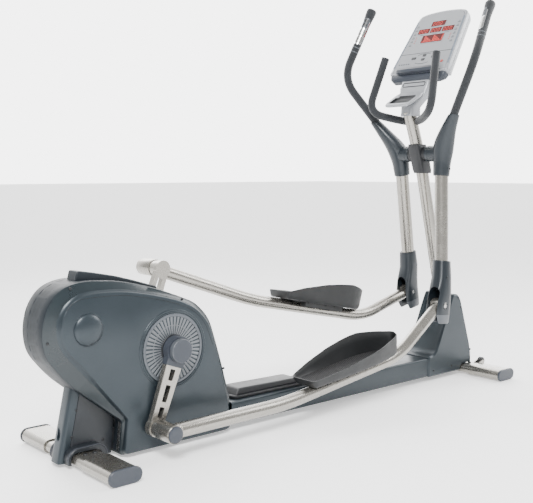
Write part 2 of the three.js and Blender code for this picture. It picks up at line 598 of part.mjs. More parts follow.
const CONSOLE_EDGE = rounded([[-159, 0, 18], [159, 0, 18], [132, 330, 22], [92, 345, 40], [0, 352, 60],
  [-92, 345, 40], [-132, 330, 22]]);
const CHIN_DROP = 32;          // the console's body reaches this far below its face
const chinLevel = (u, w, back, front, r) => boxLoop(-w, w, back, front, r)
  .map((p) => onConsole([new THREE.Vector2(p.x, u)], p.y)[0]);
const FACE_INSET = 13;
const FACE_RECESS = 3.4;
const FACE_TOP = 1.2;
const faceLoop = inset(CONSOLE_EDGE, FACE_INSET);
addPart('console_back', cut(join(
  loft([onConsole(inset(CONSOLE_EDGE, 26), -64), onConsole(inset(CONSOLE_EDGE, 10), -50),
    onConsole(inset(CONSOLE_EDGE, 2), -30), onConsole(CONSOLE_EDGE, -8), onConsole(inset(CONSOLE_EDGE, 4), 0)]),
  loft([chinLevel(12, 142, -44, -FACE_RECESS - 1, 10), chinLevel(-2, 150, -42, -1.5, 12),
    chinLevel(-18, 146, -40, -4, 12), chinLevel(-CHIN_DROP, 128, -34, -10, 10)])),
consolePrism(inset(faceLoop, -GAP), -FACE_RECESS, 10)), COLORS.silverPlastic);

const KEYS = [
  ['key_start', 54, 84, 12, 6], ['key_stop', -54, 84, 12, 6],
  ['key_up', 0, 96, 9, 6], ['key_down', 0, 74, 9, 6]];
const keyLoop = (w, u, halfW, halfU, grow = 0) => boxLoop(w - halfW - grow, w + halfW + grow,
  u - halfU - grow, u + halfU + grow, 3, 2);
addPart('console_face', cut(consolePrism(faceLoop, -FACE_RECESS + GAP, FACE_TOP, 0.8),
  ...KEYS.map(([, w, u, halfW, halfU]) => consolePrism(keyLoop(w, u, halfW, halfU, GAP), -8, 8))),
COLORS.consoleFace);
for (const [name, w, u, halfW, halfU] of KEYS) {
  addPart(name, consolePrism(keyLoop(w, u, halfW, halfU), -FACE_RECESS + 1.3, FACE_TOP + 1.4, 0.6), COLORS.key);
}
addPart('display_panel', consolePrism(boxLoop(-64, 64, 182, 292, 8), FACE_TOP + 0.3, FACE_TOP + 1.3, 0.4),
  COLORS.display);

const LIP_HALF = 112;
const lipLevel = (w, t) => [[-3, 1.6], [24, 1.6], [27, 9], [20, 20], [8, 24], [-3, 18]].map(([u, n]) => {
  const mid = 11;
  return onConsole([new THREE.Vector2(w, mid + (u - mid) * t)], FACE_TOP + 0.4 + (n - 1.6) * t)[0];
});
addPart('console_lip', loft([lipLevel(-LIP_HALF, 0.55), lipLevel(-LIP_HALF + 14, 1), lipLevel(LIP_HALF - 14, 1),
  lipLevel(LIP_HALF, 0.55)]), COLORS.cap);

// the neck wraps the top of the mast, widens and ends flat under the console's chin
function neckSolid(grow) {
  const level = (z, x, hx, hy) => onZ(boxLoop(x - hx - grow, x + hx + grow, -hy - grow, hy + grow, 14), z);
  const hx = 11 + grow;
  const top = boxLoop(-hx, hx, -74 - grow, 74 + grow, 8).map((p) => V(CONSOLE_X, p.y, CONSOLE_Z)
    .addScaledVector(FACE_UP, -CHIN_DROP - GAP).addScaledVector(FACE_OUT, -22 - p.x));
  return loft([level(1168 - grow, 1324, 36, 31), level(1205, 1326, 32, 33), level(1262, 1357, 27, 72),
    level(1292, 1363, 26, 78), top]);
}
addPart('console_neck', cut(neckSolid(0), mastSolid(GAP)), COLORS.silverPlastic);

const TRAY_X = 1226;
const TRAY_RIM = 1214;         // height of the rim at the user's edge
const TRAY_SLOPE = 0.55;
const TRAY_EDGE = rounded([[TRAY_X, -66, 16], [1312, -74, 20], [1336, -60, 4], [1336, 60, 4], [1312, 74, 20],
  [TRAY_X, 66, 16]]);
const trayLevel = (d, z) => onZ(inset(TRAY_EDGE, d), TRAY_RIM + z)
  .map((p) => V(p.x, p.y, p.z + (p.x - TRAY_X) * TRAY_SLOPE));
const TRAY_RECESS = boxLoop(TRAY_X + 11, 1304, -56, 56, 12);
const recessLevel = (d, z) => onZ(inset(TRAY_RECESS, d), TRAY_RIM + z)
  .map((p) => V(p.x, p.y, p.z + (p.x - TRAY_X) * TRAY_SLOPE));
addPart('accessory_tray', cut(
  loft([trayLevel(14, -18), trayLevel(2, -11), trayLevel(0, -4), trayLevel(1.5, 0)]),
  loft([recessLevel(3, -12), recessLevel(0, 4)]), neckSolid(GAP), mastSolid(GAP)), COLORS.silverPlastic);

// ---------------------------------------------------------------- crank train
addPart('crank_axle', rodY(0, CRANK_Z, AXLE_RADIUS, -PANEL_HALF - 30, PANEL_HALF + 30), COLORS.steel);
const axleHole = (y0, y1) => rodY(0, CRANK_Z, AXLE_RADIUS + GAP, y0, y1);
addPart('crank_pulley', cut(join(
  rodY(0, CRANK_Z, PULLEY_RADIUS, 8, 26, 36), rodY(0, CRANK_Z, 30, 0, 34)), axleHole(-5, 40)), COLORS.steel);
addPair('crank_disc', cut(join(
  rodY(0, CRANK_Z, FAN_RADIUS, FAN_DISC[0], FAN_DISC[1] - 4, 36),
  cut(rodY(0, CRANK_Z, FAN_RADIUS, FAN_DISC[0] + 2, FAN_DISC[1], 36),
    rodY(0, CRANK_Z, FAN_RADIUS - 10, FAN_DISC[0], FAN_DISC[1] + 1, 36)),
  rodY(0, CRANK_Z, 50, FAN_DISC[0] + 2, FAN_DISC[1] + 4, 24, 1)),
axleHole(FAN_DISC[0] - 2, FAN_DISC[1] + 8)), COLORS.fan);

// the arm is modelled along +X from the crank axis to the pin
const CLAMP_RADIUS = 47;
const CLAMP_REACH = 56;
const ARM_HALF_AT_HUB = 33;
const ARM_HALF_AT_PIN = 26;
const clampBody = (grow) => join(
  rodY(0, 0, CLAMP_RADIUS + grow, HUB_CLAMP[0] - grow, HUB_CLAMP[1] + grow, 28),
  box(0, CLAMP_REACH + grow, HUB_CLAMP[0] - grow, HUB_CLAMP[1] + grow, -ARM_HALF_AT_HUB - 2 - grow,
    ARM_HALF_AT_HUB + 2 + grow));
const armPlate = prism('y', rounded([[20, -ARM_HALF_AT_HUB, 2], [CRANK_RADIUS, -ARM_HALF_AT_PIN, 2],
  [CRANK_RADIUS, ARM_HALF_AT_PIN, 2], [20, ARM_HALF_AT_HUB, 2]], 1), CRANK_ARM[0], CRANK_ARM[1], 1.5);
const SLOTS = [[66, 104], [120, 177], [194, 229]];
const armSlot = ([x0, x1]) => prism('y', rounded([[x0, -10, 3], [x1, -9, 3], [x1, 9, 3], [x0, 10, 3]], 2),
  CRANK_ARM[0] - 1, CRANK_ARM[1] + 1);
addPair('crank_arm', cut(join(armPlate,
  rodY(CRANK_RADIUS, 0, EYE_RADIUS, CRANK_ARM[0], CRANK_ARM[1] + 4, 24),
  rodY(CRANK_RADIUS, 0, EYE_RADIUS - 3, CRANK_ARM[1], COLLAR_OUT, 24)),
clampBody(GAP), ...SLOTS.map(armSlot)), COLORS.silver, crankTransforms);
addPair('crank_hub', cut(join(clampBody(0),
  rodY(0, 0, 40, HUB_CLAMP[1] - 1, HUB_CAP_OUT, 28, 2.5)),
rodY(0, 0, AXLE_RADIUS + GAP, HUB_CLAMP[0] - 2, PANEL_HALF + 32)), COLORS.cap, crankTransforms);

// ---------------------------------------------------------------- flywheel and belt
addPart('flywheel', join(
  rodY(FLYWHEEL_X, FLYWHEEL_Z, FLYWHEEL_RADIUS, -28, -4, 36),
  rodY(FLYWHEEL_X, FLYWHEEL_Z, FLYWHEEL_PULLEY_RADIUS, -6, 26, 28),
  rodY(FLYWHEEL_X, FLYWHEEL_Z, 8, -54, 54, 16)), COLORS.steel);

// loop around both pulleys, offset outward by d
function beltLoop(d) {
  const dx = FLYWHEEL_X;
  const dz = FLYWHEEL_Z - CRANK_Z;
  const reach = Math.hypot(dx, dz);
  const heading = Math.atan2(dz, dx);
  const spread = Math.acos((PULLEY_RADIUS - FLYWHEEL_PULLEY_RADIUS) / reach);
  const loop = [];
  const arc = (cx, cz, radius, from, to, count) => {
    for (let i = 0; i <= count; i++) {
      const t = from + ((to - from) * i) / count;
      loop.push(new THREE.Vector2(cx + radius * Math.cos(t), cz + radius * Math.sin(t)));
    }
  };
  arc(0, CRANK_Z, PULLEY_RADIUS + d, heading + spread, heading - spread + 2 * Math.PI, 36);
  arc(FLYWHEEL_X, FLYWHEEL_Z, FLYWHEEL_PULLEY_RADIUS + d, heading - spread, heading + spread, 14);
  return loop;
}
addPart('drive_belt', cut(prism('y', beltLoop(4), 10, 24), prism('y', beltLoop(1), 9, 25)), COLORS.belt);

// ---------------------------------------------------------------- foot links
// modelled in the chord frame: origin at the crank pin, +X to the lower pivot
const linkPath = bentPath([V(4, LINK_Y_REAR, 0), V(LINK_BEND_1[0], LINK_Y_REAR - 12, LINK_BEND_1[1]),
  V(LINK_BEND_2[0], LINK_Y_FRONT + 4, LINK_BEND_2[1]), V(LINK_LENGTH - 4, LINK_Y_FRONT, 0)], 88);
const EYE_LIP = 3;
const frontEye = rodY(LINK_LENGTH, 0, EYE_RADIUS - 1, LINK_Y_FRONT - 24, LINK_Y_FRONT + 24, 20);
addPair('link_tube', cut(join(
  tube(linkPath, roundSection(LINK_TUBE_RADIUS), 30),
  rodY(0, 0, EYE_RADIUS, LINK_EYE[0], LINK_EYE[1], 24, 1), frontEye),
rodY(0, 0, EYE_RADIUS - EYE_LIP, LINK_EYE[1] - 4, LINK_EYE[1] + 2, 24),
rodY(LINK_LENGTH, 0, PIN_RADIUS + GAP, LINK_Y_FRONT - 40, LINK_Y_FRONT + 40, 20)), COLORS.silver, linkTransforms);
addPair('link_cap', rodY(0, 0, EYE_RADIUS - EYE_LIP - GAP, LINK_EYE[1] - 4 + GAP, LINK_EYE[1] + 4, 24, 1.5),
  COLORS.cap, linkTransforms);

// pedal tray: low at the heel, high along the inner side and around the toe
const PEDAL_HEEL = 622;
const PEDAL_TOE = 1138;
const PEDAL_INNER = 87;
const PEDAL_OUTER = 240;
const pedalLength = PEDAL_TOE - PEDAL_HEEL;
const pedalPlan = rounded([
  [PEDAL_HEEL, PEDAL_INNER + 12, 22], [PEDAL_HEEL + 150, PEDAL_INNER + 3, 60], [PEDAL_HEEL + 350, PEDAL_INNER, 70],
  [PEDAL_HEEL + 440, PEDAL_INNER + 26, 45], [PEDAL_TOE, PEDAL_INNER + 76, 36], [PEDAL_TOE - 20, PEDAL_OUTER - 26, 30],
  [PEDAL_HEEL + 360, PEDAL_OUTER, 70], [PEDAL_HEEL + 150, PEDAL_OUTER - 2, 60], [PEDAL_HEEL, PEDAL_OUTER - 12, 22]], 3);
const LINK_MID_SLOPE = (LINK_BEND_2[1] - LINK_BEND_1[1]) / (LINK_BEND_2[0] - LINK_BEND_1[0]);
const pedalBase = (x) => LINK_BEND_1[1] + (x - LINK_BEND_1[0]) * LINK_MID_SLOPE + LINK_TUBE_RADIUS + 0.8;
function between(table, x) {
  const last = table.length - 1;
  if (x <= table[0][0]) return table[0][1];
  for (let i = 0; i < last; i++) {
    const [x0, h0] = table[i];
    const [x1, h1] = table[i + 1];
    if (x <= x1) return h0 + ((h1 - h0) * (x - x0)) / (x1 - x0);
  }
  return table[last][1];
}
// wall heights at fractions of the pedal's length
const INNER_WALL = [[0, 30], [0.15, 56], [0.44, 89], [0.73, 106], [0.9, 102], [1, 94]];
const OUTER_WALL = [[0, 30], [0.3, 36], [0.75, 62], [0.95, 76], [1, 84]];
function pedalRim(p) {
  const along = (p.x - PEDAL_HEEL) / pedalLength;
  const across = Math.min(1, Math.max(0, (p.y - PEDAL_INNER) / (PEDAL_OUTER - PEDAL_INNER)));
  return between(INNER_WALL, along) * (1 - across) + between(OUTER_WALL, along) * across;
}
const pedalLevel = (d, height) => inset(pedalPlan, d).map((p, i) => V(p.x, p.y,
  pedalBase(p.x) + (height === null ? pedalRim(pedalPlan[i]) : height)));
const PEDAL_FLOOR = 15;
// the toe's floor curls up so that its underside clears the bend of the link
const TOE_RISE_FROM = 1074;
const TOE_CURL = 0.0075;
const toeCurve = (lift) => [0, 0.25, 0.5, 0.75, 1].map((t) => {
  const ahead = t * (PEDAL_TOE + 5 - TOE_RISE_FROM);
  const x = TOE_RISE_FROM + ahead;
  return new THREE.Vector2(x, pedalBase(x) + TOE_CURL * ahead * ahead + lift);
});
const acrossPedal = (loop) => prism('y', loop, PEDAL_INNER - 40, PEDAL_OUTER + 40);
const toeFloor = overlap(loft([pedalLevel(14, 0), pedalLevel(6, 8), pedalLevel(2, 60), pedalLevel(2, 70)]),
  acrossPedal([...toeCurve(0), ...toeCurve(PEDAL_FLOOR).reverse()]));
const belowToe = acrossPedal([new THREE.Vector2(TOE_RISE_FROM + 0.5, pedalBase(TOE_RISE_FROM) - 40),
  new THREE.Vector2(PEDAL_TOE + 20, pedalBase(PEDAL_TOE) - 40),
  new THREE.Vector2(PEDAL_TOE + 20, pedalBase(PEDAL_TOE) + TOE_CURL * (PEDAL_TOE - TOE_RISE_FROM) ** 2),
  ...toeCurve(0).reverse()]);
addPair('pedal', cut(join(toeFloor,
  loft([pedalLevel(14, 0), pedalLevel(6, 8), pedalLevel(0, null), pedalLevel(6, null), pedalLevel(15, PEDAL_FLOOR)]),
  loft([[PEDAL_HEEL + 110, -20], [PEDAL_HEEL + 330, -20]].map(([x, z]) => onX(
    boxLoop(PEDAL_INNER + 18, LINK_Y_FRONT - LINK_TUBE_RADIUS - 6, pedalBase(x) + z, pedalBase(x) + 6), x)))),
  belowToe), COLORS.pedal, linkTransforms);
addPair('pedal_mat', cut(loft([pedalLevel(18, PEDAL_FLOOR + GAP), pedalLevel(18, PEDAL_FLOOR + 3),
  pedalLevel(20, PEDAL_FLOOR + 4)]),
box(TOE_RISE_FROM - 1, PEDAL_TOE + 20, PEDAL_INNER - 40, PEDAL_OUTER + 40, -600, 1200)), COLORS.mat, linkTransforms);

// ---------------------------------------------------------------- swing arms
const swingLine = [V(6, 117, -40), V(20, 156, -558)];
const swingTube = (grow) => tube(new THREE.LineCurve3(...stretched(swingLine, grow)),
  roundSection(SWING_TUBE_RADIUS + grow, 20), 1);
addPair('swing_tube', swingTube(0), COLORS.silver, armTransforms);

const gripTop = V(78, 250, 640);
const gripBend = V(-93, 316, 366);
const gripLine = [V(-35, 180, 127), gripBend, gripTop];
const gripAxis = gripTop.clone().sub(gripBend).normalize();
const BULB_LENGTH = 44;
function gripBulb() {
  const cone = new THREE.CylinderGeometry(GRIP_RADIUS + 5, GRIP_RADIUS, BULB_LENGTH, 20);
  cone.applyQuaternion(new THREE.Quaternion().setFromUnitVectors(V(0, 1, 0), gripAxis));
  const at = gripTop.clone().addScaledVector(gripAxis, -BULB_LENGTH * 0.3);
  return toSolid(cone.translate(at.x, at.y, at.z));
}
const gripSolid = (grow) => tube(bentPath(stretched(gripLine, grow), 85), roundSection(GRIP_RADIUS + grow), 20);
addPair('handle_grip', join(gripSolid(0), gripBulb()), COLORS.foam, armTransforms);

const ringsAlongArm = (table) => loft(table.map(([z, x, y, hx, hy]) => onZ(circleLoop(x, y, hx, 18, hy), z)));
const coverBody = ringsAlongArm([[-96, 6, 120, 34, 33], [-92, 6, 120, 35, 34], [-40, 5, 120, 38, 38],
  [10, 0, 124, 43, 44], [50, -10, 136, 41, 43], [100, -27, 163, 33, 34], [150, -41, 194, 25, 25], [156, -43, 197, 23, 23]]);
const barrel = rodY(0, 0, 35, HUB_HALF + 0.8, 120, 24, 2);
addPair('upper_cover', cut(join(coverBody, barrel), swingTube(GAP), gripSolid(GAP),
  rodY(0, 0, AXLE_RADIUS + GAP, 30, 98)), COLORS.armCover, armTransforms);

const CHANNEL_HALF = LINK_TUBE_RADIUS + 2;
const CHANNEL_FRONT = LINK_TUBE_RADIUS + 10;
const CHANNEL_TOP = -600;
const shroudBody = loft([[-460, 18, 150, 33, 33], [-464, 18, 150, 34, 34], [-530, 19, 155, 38, 36],
  [-590, 8, 162, 46, 37], [-640, 1, 165, 51, 37], [-690, 0, 165, 51, 37], [-722, 6, 165, 44, 35],
  [-728, 7, 165, 40, 32]].map(([z, x, y, hx, hy]) => onZ(boxLoop(x - hx, x + hx, y - hy, y + hy, Math.min(hx, hy) * 0.8, 3), z)));
const channel = join(
  box(-90, CHANNEL_FRONT, LINK_Y_FRONT - CHANNEL_HALF, LINK_Y_FRONT + CHANNEL_HALF, -800, CHANNEL_TOP),
  prism('x', circleLoop(LINK_Y_FRONT, CHANNEL_TOP, CHANNEL_HALF - 0.1, 20), -90, CHANNEL_FRONT - 4));
addPair('lower_shroud', cut(shroudBody, swingTube(GAP), channel,
  rodY(0, -ROCKER_LENGTH, PIN_RADIUS + GAP, 100, 220, 20)), COLORS.armCover, armTransforms);
addPair('lower_pivot_pin', rodY(0, -ROCKER_LENGTH, PIN_RADIUS, LINK_Y_FRONT - 36, LINK_Y_FRONT + 36, 20),
  COLORS.steel, armTransforms);

// ---------------------------------------------------------------- meshes
const REAR_END = Math.min(...HOUSING_EDGE.map((p) => p.x));
const FRONT_END = WHEEL_X + WHEEL_RADIUS;
const shiftX = -(REAR_END + FRONT_END) / 2;
for (const { name, geometry, palette } of parts) {
  geometry.translate(shiftX, 0, 0);
  geometry.computeVertexNormals();
  const [color, roughness, metalness] = palette;
  const mesh = new THREE.Mesh(geometry, new THREE.MeshStandardMaterial({ color, roughness, metalness }));
  mesh.name = name;
  group.add(mesh);
}

export default group;
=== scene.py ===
"""Elliptical trainer: looks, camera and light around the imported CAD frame. Lengths in code are in mm,
X measured from the crank axis; P() turns them into the row frame in metres."""
import json
import math

import bpy
import bmesh
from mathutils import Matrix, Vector


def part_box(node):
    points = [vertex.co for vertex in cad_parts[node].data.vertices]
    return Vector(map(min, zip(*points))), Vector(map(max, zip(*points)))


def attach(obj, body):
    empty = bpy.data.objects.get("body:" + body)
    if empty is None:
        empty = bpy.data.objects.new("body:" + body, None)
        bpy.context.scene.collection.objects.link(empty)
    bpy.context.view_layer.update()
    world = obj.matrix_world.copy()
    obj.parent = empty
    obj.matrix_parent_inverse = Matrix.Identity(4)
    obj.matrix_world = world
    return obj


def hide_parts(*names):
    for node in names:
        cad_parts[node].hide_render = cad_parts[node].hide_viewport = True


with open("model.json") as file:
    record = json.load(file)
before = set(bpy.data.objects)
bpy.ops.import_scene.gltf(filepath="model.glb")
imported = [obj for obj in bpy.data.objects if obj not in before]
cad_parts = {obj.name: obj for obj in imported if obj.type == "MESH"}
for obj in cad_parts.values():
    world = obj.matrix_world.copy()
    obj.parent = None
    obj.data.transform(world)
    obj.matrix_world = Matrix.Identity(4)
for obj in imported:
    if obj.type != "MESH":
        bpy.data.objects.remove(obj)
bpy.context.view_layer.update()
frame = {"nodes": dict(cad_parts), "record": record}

NODES = frame["nodes"]
axle_lo, axle_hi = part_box("crank_axle")
SHIFT = (axle_lo.x + axle_hi.x) / 2
MM = 0.001


def P(x, y, z):
    return Vector((x * MM + SHIFT, y * MM, z * MM))


# ------------------------------------------------------------------ dimensions shared with the CAD
CRANK_RADIUS, CRANK_Z, CRANK_TILT = 262, 338, math.radians(20.5)
LINK_LENGTH, ROCKER_LENGTH = 1445.6, 651.5
PIVOT_X, PIVOT_Z = 1394, 1007
FLYWHEEL_X, FLYWHEEL_Z = -318, 440
BAND_HALF, RIM_HALF, PANEL_HALF = 30, 66, 88
TOWER_HALF = 30
FAN_HOLE = 122
CONSOLE_X, CONSOLE_Z, CONSOLE_TILT = 1362, 1356, math.radians(33.5)
FACE_TOP = 1.2
LINK_Y_REAR, LINK_Y_FRONT = 195, 165
LINK_BENDS = ((500, -94), (1150, -131))
FOOT_X_REAR, FOOT_X_FRONT, FOOT_AXIS_Z = -316, 1661, 25.5
FOOT_HALF_FLAT, FOOT_HALF_HEIGHT, SLEEVE_WALL = 33.5, 23, 14
SIDES = {"left": 1, "right": -1}
# radii of the smooth skins, a hair under the CAD's
LINK_SKIN, SWING_SKIN, GRIP_SKIN, BAR_SKIN = 24.9, 28.9, 17.9, 16.9
MAST_SKIN = (24.9, 29.9)
HUB_CAP_OUT, LINK_EYE_OUT = 144, 230
SCREW_RADIUS = 4.5
LENS_MM = 58.47129455909944

PINS = {"right": (-CRANK_RADIUS * math.sin(CRANK_TILT), CRANK_Z - CRANK_RADIUS * math.cos(CRANK_TILT)),
    "left": (CRANK_RADIUS * math.sin(CRANK_TILT), CRANK_Z + CRANK_RADIUS * math.cos(CRANK_TILT)),}


def lower_pivot(pin):
    dx, dz = PIVOT_X - pin[0], PIVOT_Z - pin[1]
    d = math.hypot(dx, dz)
    along = (LINK_LENGTH ** 2 - ROCKER_LENGTH ** 2 + d * d) / (2 * d)
    off = math.sqrt(LINK_LENGTH ** 2 - along ** 2)
    return pin[0] + (along * dx + off * dz) / d, pin[1] + (along * dz - off * dx) / d


def placed(angle, x, z, side):
    """Places a piece modelled in its own frame, in mm, on the left side; the right one is mirrored."""
    c, s = math.cos(angle), math.sin(angle)
    sy = SIDES[side]

    def place(v):
        return P(x + v[0] * c - v[2] * s, v[1] * sy, z + v[0] * s + v[2] * c)
    return place


ARM, LINK, CRANK, FIXED = {}, {}, {}, {}
for side, pin in PINS.items():
    low = lower_pivot(pin)
    ARM[side] = placed(math.atan2(low[0] - PIVOT_X, PIVOT_Z - low[1]), PIVOT_X, PIVOT_Z, side)
    LINK[side] = placed(math.atan2(low[1] - pin[1], low[0] - pin[0]), pin[0], pin[1], side)
    CRANK[side] = placed((math.pi / 2 if side == "left" else -math.pi / 2) - CRANK_TILT, 0, CRANK_Z, side)
    FIXED[side] = placed(0, 0, 0, side)
MIDDLE = FIXED["left"]


def on_console(v):
    """w across, u up the face, n out of it toward the user."""
    s, c = math.sin(CONSOLE_TILT), math.cos(CONSOLE_TILT)
    return P(CONSOLE_X + v[1] * s - v[2] * c, v[0], CONSOLE_Z + v[1] * c + v[2] * s)


# ------------------------------------------------------------------ outlines
def rounded(control, steps=8):
    """Loop through control points (a, b, r) with each corner rounded over the length r."""
    n, loop = len(control), []
    for i, (a, b, r) in enumerate(control):
        corner = Vector((a, b))
        before = Vector(control[i - 1][:2]) - corner
        after = Vector(control[(i + 1) % n][:2]) - corner
        p0 = corner + before.normalized() * min(r, before.length * 0.49)
        p2 = corner + after.normalized() * min(r, after.length * 0.49)
        for k in range(steps + 1):
            t = k / steps
            loop.append(p0 * (1 - t) ** 2 + corner * (2 * t * (1 - t)) + p2 * t * t)
    return loop


def box_loop(a0, a1, b0, b1, r, steps=5):
    return rounded([(a0, b0, r), (a1, b0, r), (a1, b1, r), (a0, b1, r)], steps)


def circle(radius, count=48, a=0.0, b=0.0, radius_b=None):
    rb = radius if radius_b is None else radius_b
    return [Vector((a + radius * math.cos(2 * math.pi * i / count),
        b + rb * math.sin(2 * math.pi * i / count))) for i in range(count)]


def inset(loop, d):
    """Counter-clockwise loop moved inward by d; a crossed corner shrinks to its meeting point."""
    n = len(loop)

    def edge(i):
        return (loop[(i + 1) % n] - loop[i % n]).normalized()
    moved = []
    for i, p in enumerate(loop):
        t0 = edge(i - 1)
        t = (t0 + edge(i)).normalized()
        miter = 1 / max(0.5, t.dot(t0))
        moved.append(Vector((p.x - t.y * d * miter, p.y + t.x * d * miter)))
    for _ in range(40):
        crossed = [i for i in range(n) if (moved[(i + 1) % n] - moved[i]).dot(edge(i)) < 0]
        if not crossed:
            break
        for i in crossed:
            j = (i + 1) % n
            moved[i] = moved[j] = (moved[i] + moved[j]) / 2
            moved[i] = moved[i].lerp(moved[i - 1], 0.02)
            moved[j] = moved[j].lerp(moved[(j + 1) % n], 0.02)
    return moved


# ------------------------------------------------------------------ mesh building
ANGLE = math.radians(35)


def finish_mesh(name, bm, materials, body, smooth=ANGLE, replaced=()):
    bmesh.ops.remove_doubles(bm, verts=bm.verts, dist=1e-6)
    bmesh.ops.recalc_face_normals(bm, faces=bm.faces)
    mesh = bpy.data.meshes.new(name)
    bm.to_mesh(mesh)
    bm.free()
    for m in materials if isinstance(materials, tuple) else (materials,):
        mesh.materials.append(M[m])
    mesh.shade_smooth()
    mesh.set_sharp_from_angle(angle=smooth)
    obj = bpy.data.objects.new(name, mesh)
    bpy.context.scene.collection.objects.link(obj)
    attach(obj, body)
    if replaced:
        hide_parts(*replaced)
    return obj


def add_loft(bm, rings, caps=(True, True), closed=True, index=0):
    """Quads between rings of points; returns the vertex rings."""
    rows = [[bm.verts.new(p) for p in ring] for ring in rings]
    count = len(rows[0])
    span = count if closed else count - 1
    for a, b in zip(rows, rows[1:]):
        for i in range(span):
            j = (i + 1) % count
            f = bm.faces.new((a[i], a[j], b[j], b[i]))
            f.material_index = index
    if caps[0]:
        bm.faces.new(list(reversed(rows[0]))).material_index = index
    if caps[1]:
        bm.faces.new(rows[-1]).material_index = index
    return rows


def add_box(bm, place, a0, a1, b0, b1, c0, c1, bevel=0.0, index=0):
    loop = lambda d: [(a0 + d, b0 + d), (a1 - d, b0 + d), (a1 - d, b1 - d), (a0 + d, b1 - d)]
    levels = [(0, c0), (0, c1)] if bevel <= 0 else [(bevel, c0), (0, c0 + bevel), (0, c1 - bevel),
        (bevel, c1)]
    add_loft(bm, [[place((a, b, c)) for a, b in loop(d)] for d, c in levels], index=index)


def frame_of(direction):
    d = direction.normalized()
    u = d.orthogonal().normalized()
    return d, u, d.cross(u)


def add_lathe(bm, origin, axis, profile, count=40, index=0):
    """Profile of (radius, height) in mm turned about axis through origin (row frame)."""
    d, u, v = frame_of(axis)
    rings = []
    for r, h in profile:
        rr = max(r, 0.02) * MM
        rings.append([origin + d * (h * MM) + (u * math.cos(2 * math.pi * k / count) + v * math.sin(
            2 * math.pi * k / count)) * rr for k in range(count)])
    add_loft(bm, rings, index=index)


def smooth_line(points, trim, per_bend=10, straight=2):
    """Polyline with its corners rounded, as a list of points."""
    pts = [Vector(p) for p in points]
    line = [pts[0]]
    for i in range(1, len(pts) - 1):
        back, on = pts[i - 1] - pts[i], pts[i + 1] - pts[i]
        a = pts[i] + back.normalized() * min(trim, back.length * 0.48)
        b = pts[i] + on.normalized() * min(trim, on.length * 0.48)
        for k in range(per_bend + 1):
            t = k / per_bend
            line.append(a * (1 - t) ** 2 + pts[i] * (2 * t * (1 - t)) + b * t * t)
    line.append(pts[-1])
    full = [line[0]]
    for a, b in zip(line, line[1:]):
        pieces = max(1, int((b - a).length / 60)) if straight else 1
        full += [a.lerp(b, (k + 1) / pieces) for k in range(pieces)]
    return full


def add_tube(bm, place, line, radius, count=28, flat=None, index=0):
    """Tube about a line in the piece's own frame. radius may be a function of the fraction along it.
    flat = (axis vector, other radius) makes an elliptical section."""
    length = [0.0]
    for a, b in zip(line, line[1:]):
        length.append(length[-1] + (b - a).length)
    rings, u = [], None
    for i, p in enumerate(line):
        t = (line[min(i + 1, len(line) - 1)] - line[max(i - 1, 0)]).normalized()
        if flat is not None:
            u = flat[0].cross(t).normalized()
        elif u is None:
            u = t.orthogonal().normalized()
        else:
            u = (u - t * u.dot(t)).normalized()
        v = t.cross(u)
        r = radius(length[i] / length[-1]) if callable(radius) else radius
        ru, rv = (r, r) if flat is None else (flat[1], r)
        rings.append([place(p + u * (ru * math.cos(2 * math.pi * k / count)) + v * (
            rv * math.sin(2 * math.pi * k / count))) for k in range(count)])
    add_loft(bm, rings, index=index)


def catmull(table, per=6):
    """Rows of numbers turned into a finer list by a Catmull-Rom curve through them."""
    out = []
    for i in range(len(table) - 1):
        p = [table[max(i - 1, 0)], table[i], table[i + 1], table[min(i + 2, len(table) - 1)]]
        for k in range(per):
            t = k / per
            out.append([0.5 * (2 * b + (c - a) * t + (2 * a - 5 * b + 4 * c - d) * t * t + (
                3 * b - a - 3 * c + d) * t ** 3) for a, b, c, d in zip(*p)])
    out.append(list(table[-1]))
    return out


# ------------------------------------------------------------------ materials
def node(tree, kind, **inputs):
    n = tree.nodes.new(kind)
    for key, value in inputs.items():
        n.inputs[key].default_value = value
    return n


M = {}


def remap(tree, value, low, high, out_low, out_high):
    n = node(tree, "ShaderNodeMapRange", **{"From Min": low, "From Max": high, "To Min": out_low,
        "To Max": out_high})
    tree.links.new(value, n.inputs["Value"])
    return n.outputs["Result"]


def blend_to(tree, factor, color, other):
    """Mixes a constant colour into a colour output."""
    mix = tree.nodes.new("ShaderNodeMix")
    mix.data_type = "RGBA"
    tree.links.new(factor, mix.inputs["Factor"])
    tree.links.new(color, mix.inputs[6])
    mix.inputs[7].default_value = other
    return mix.outputs[2]


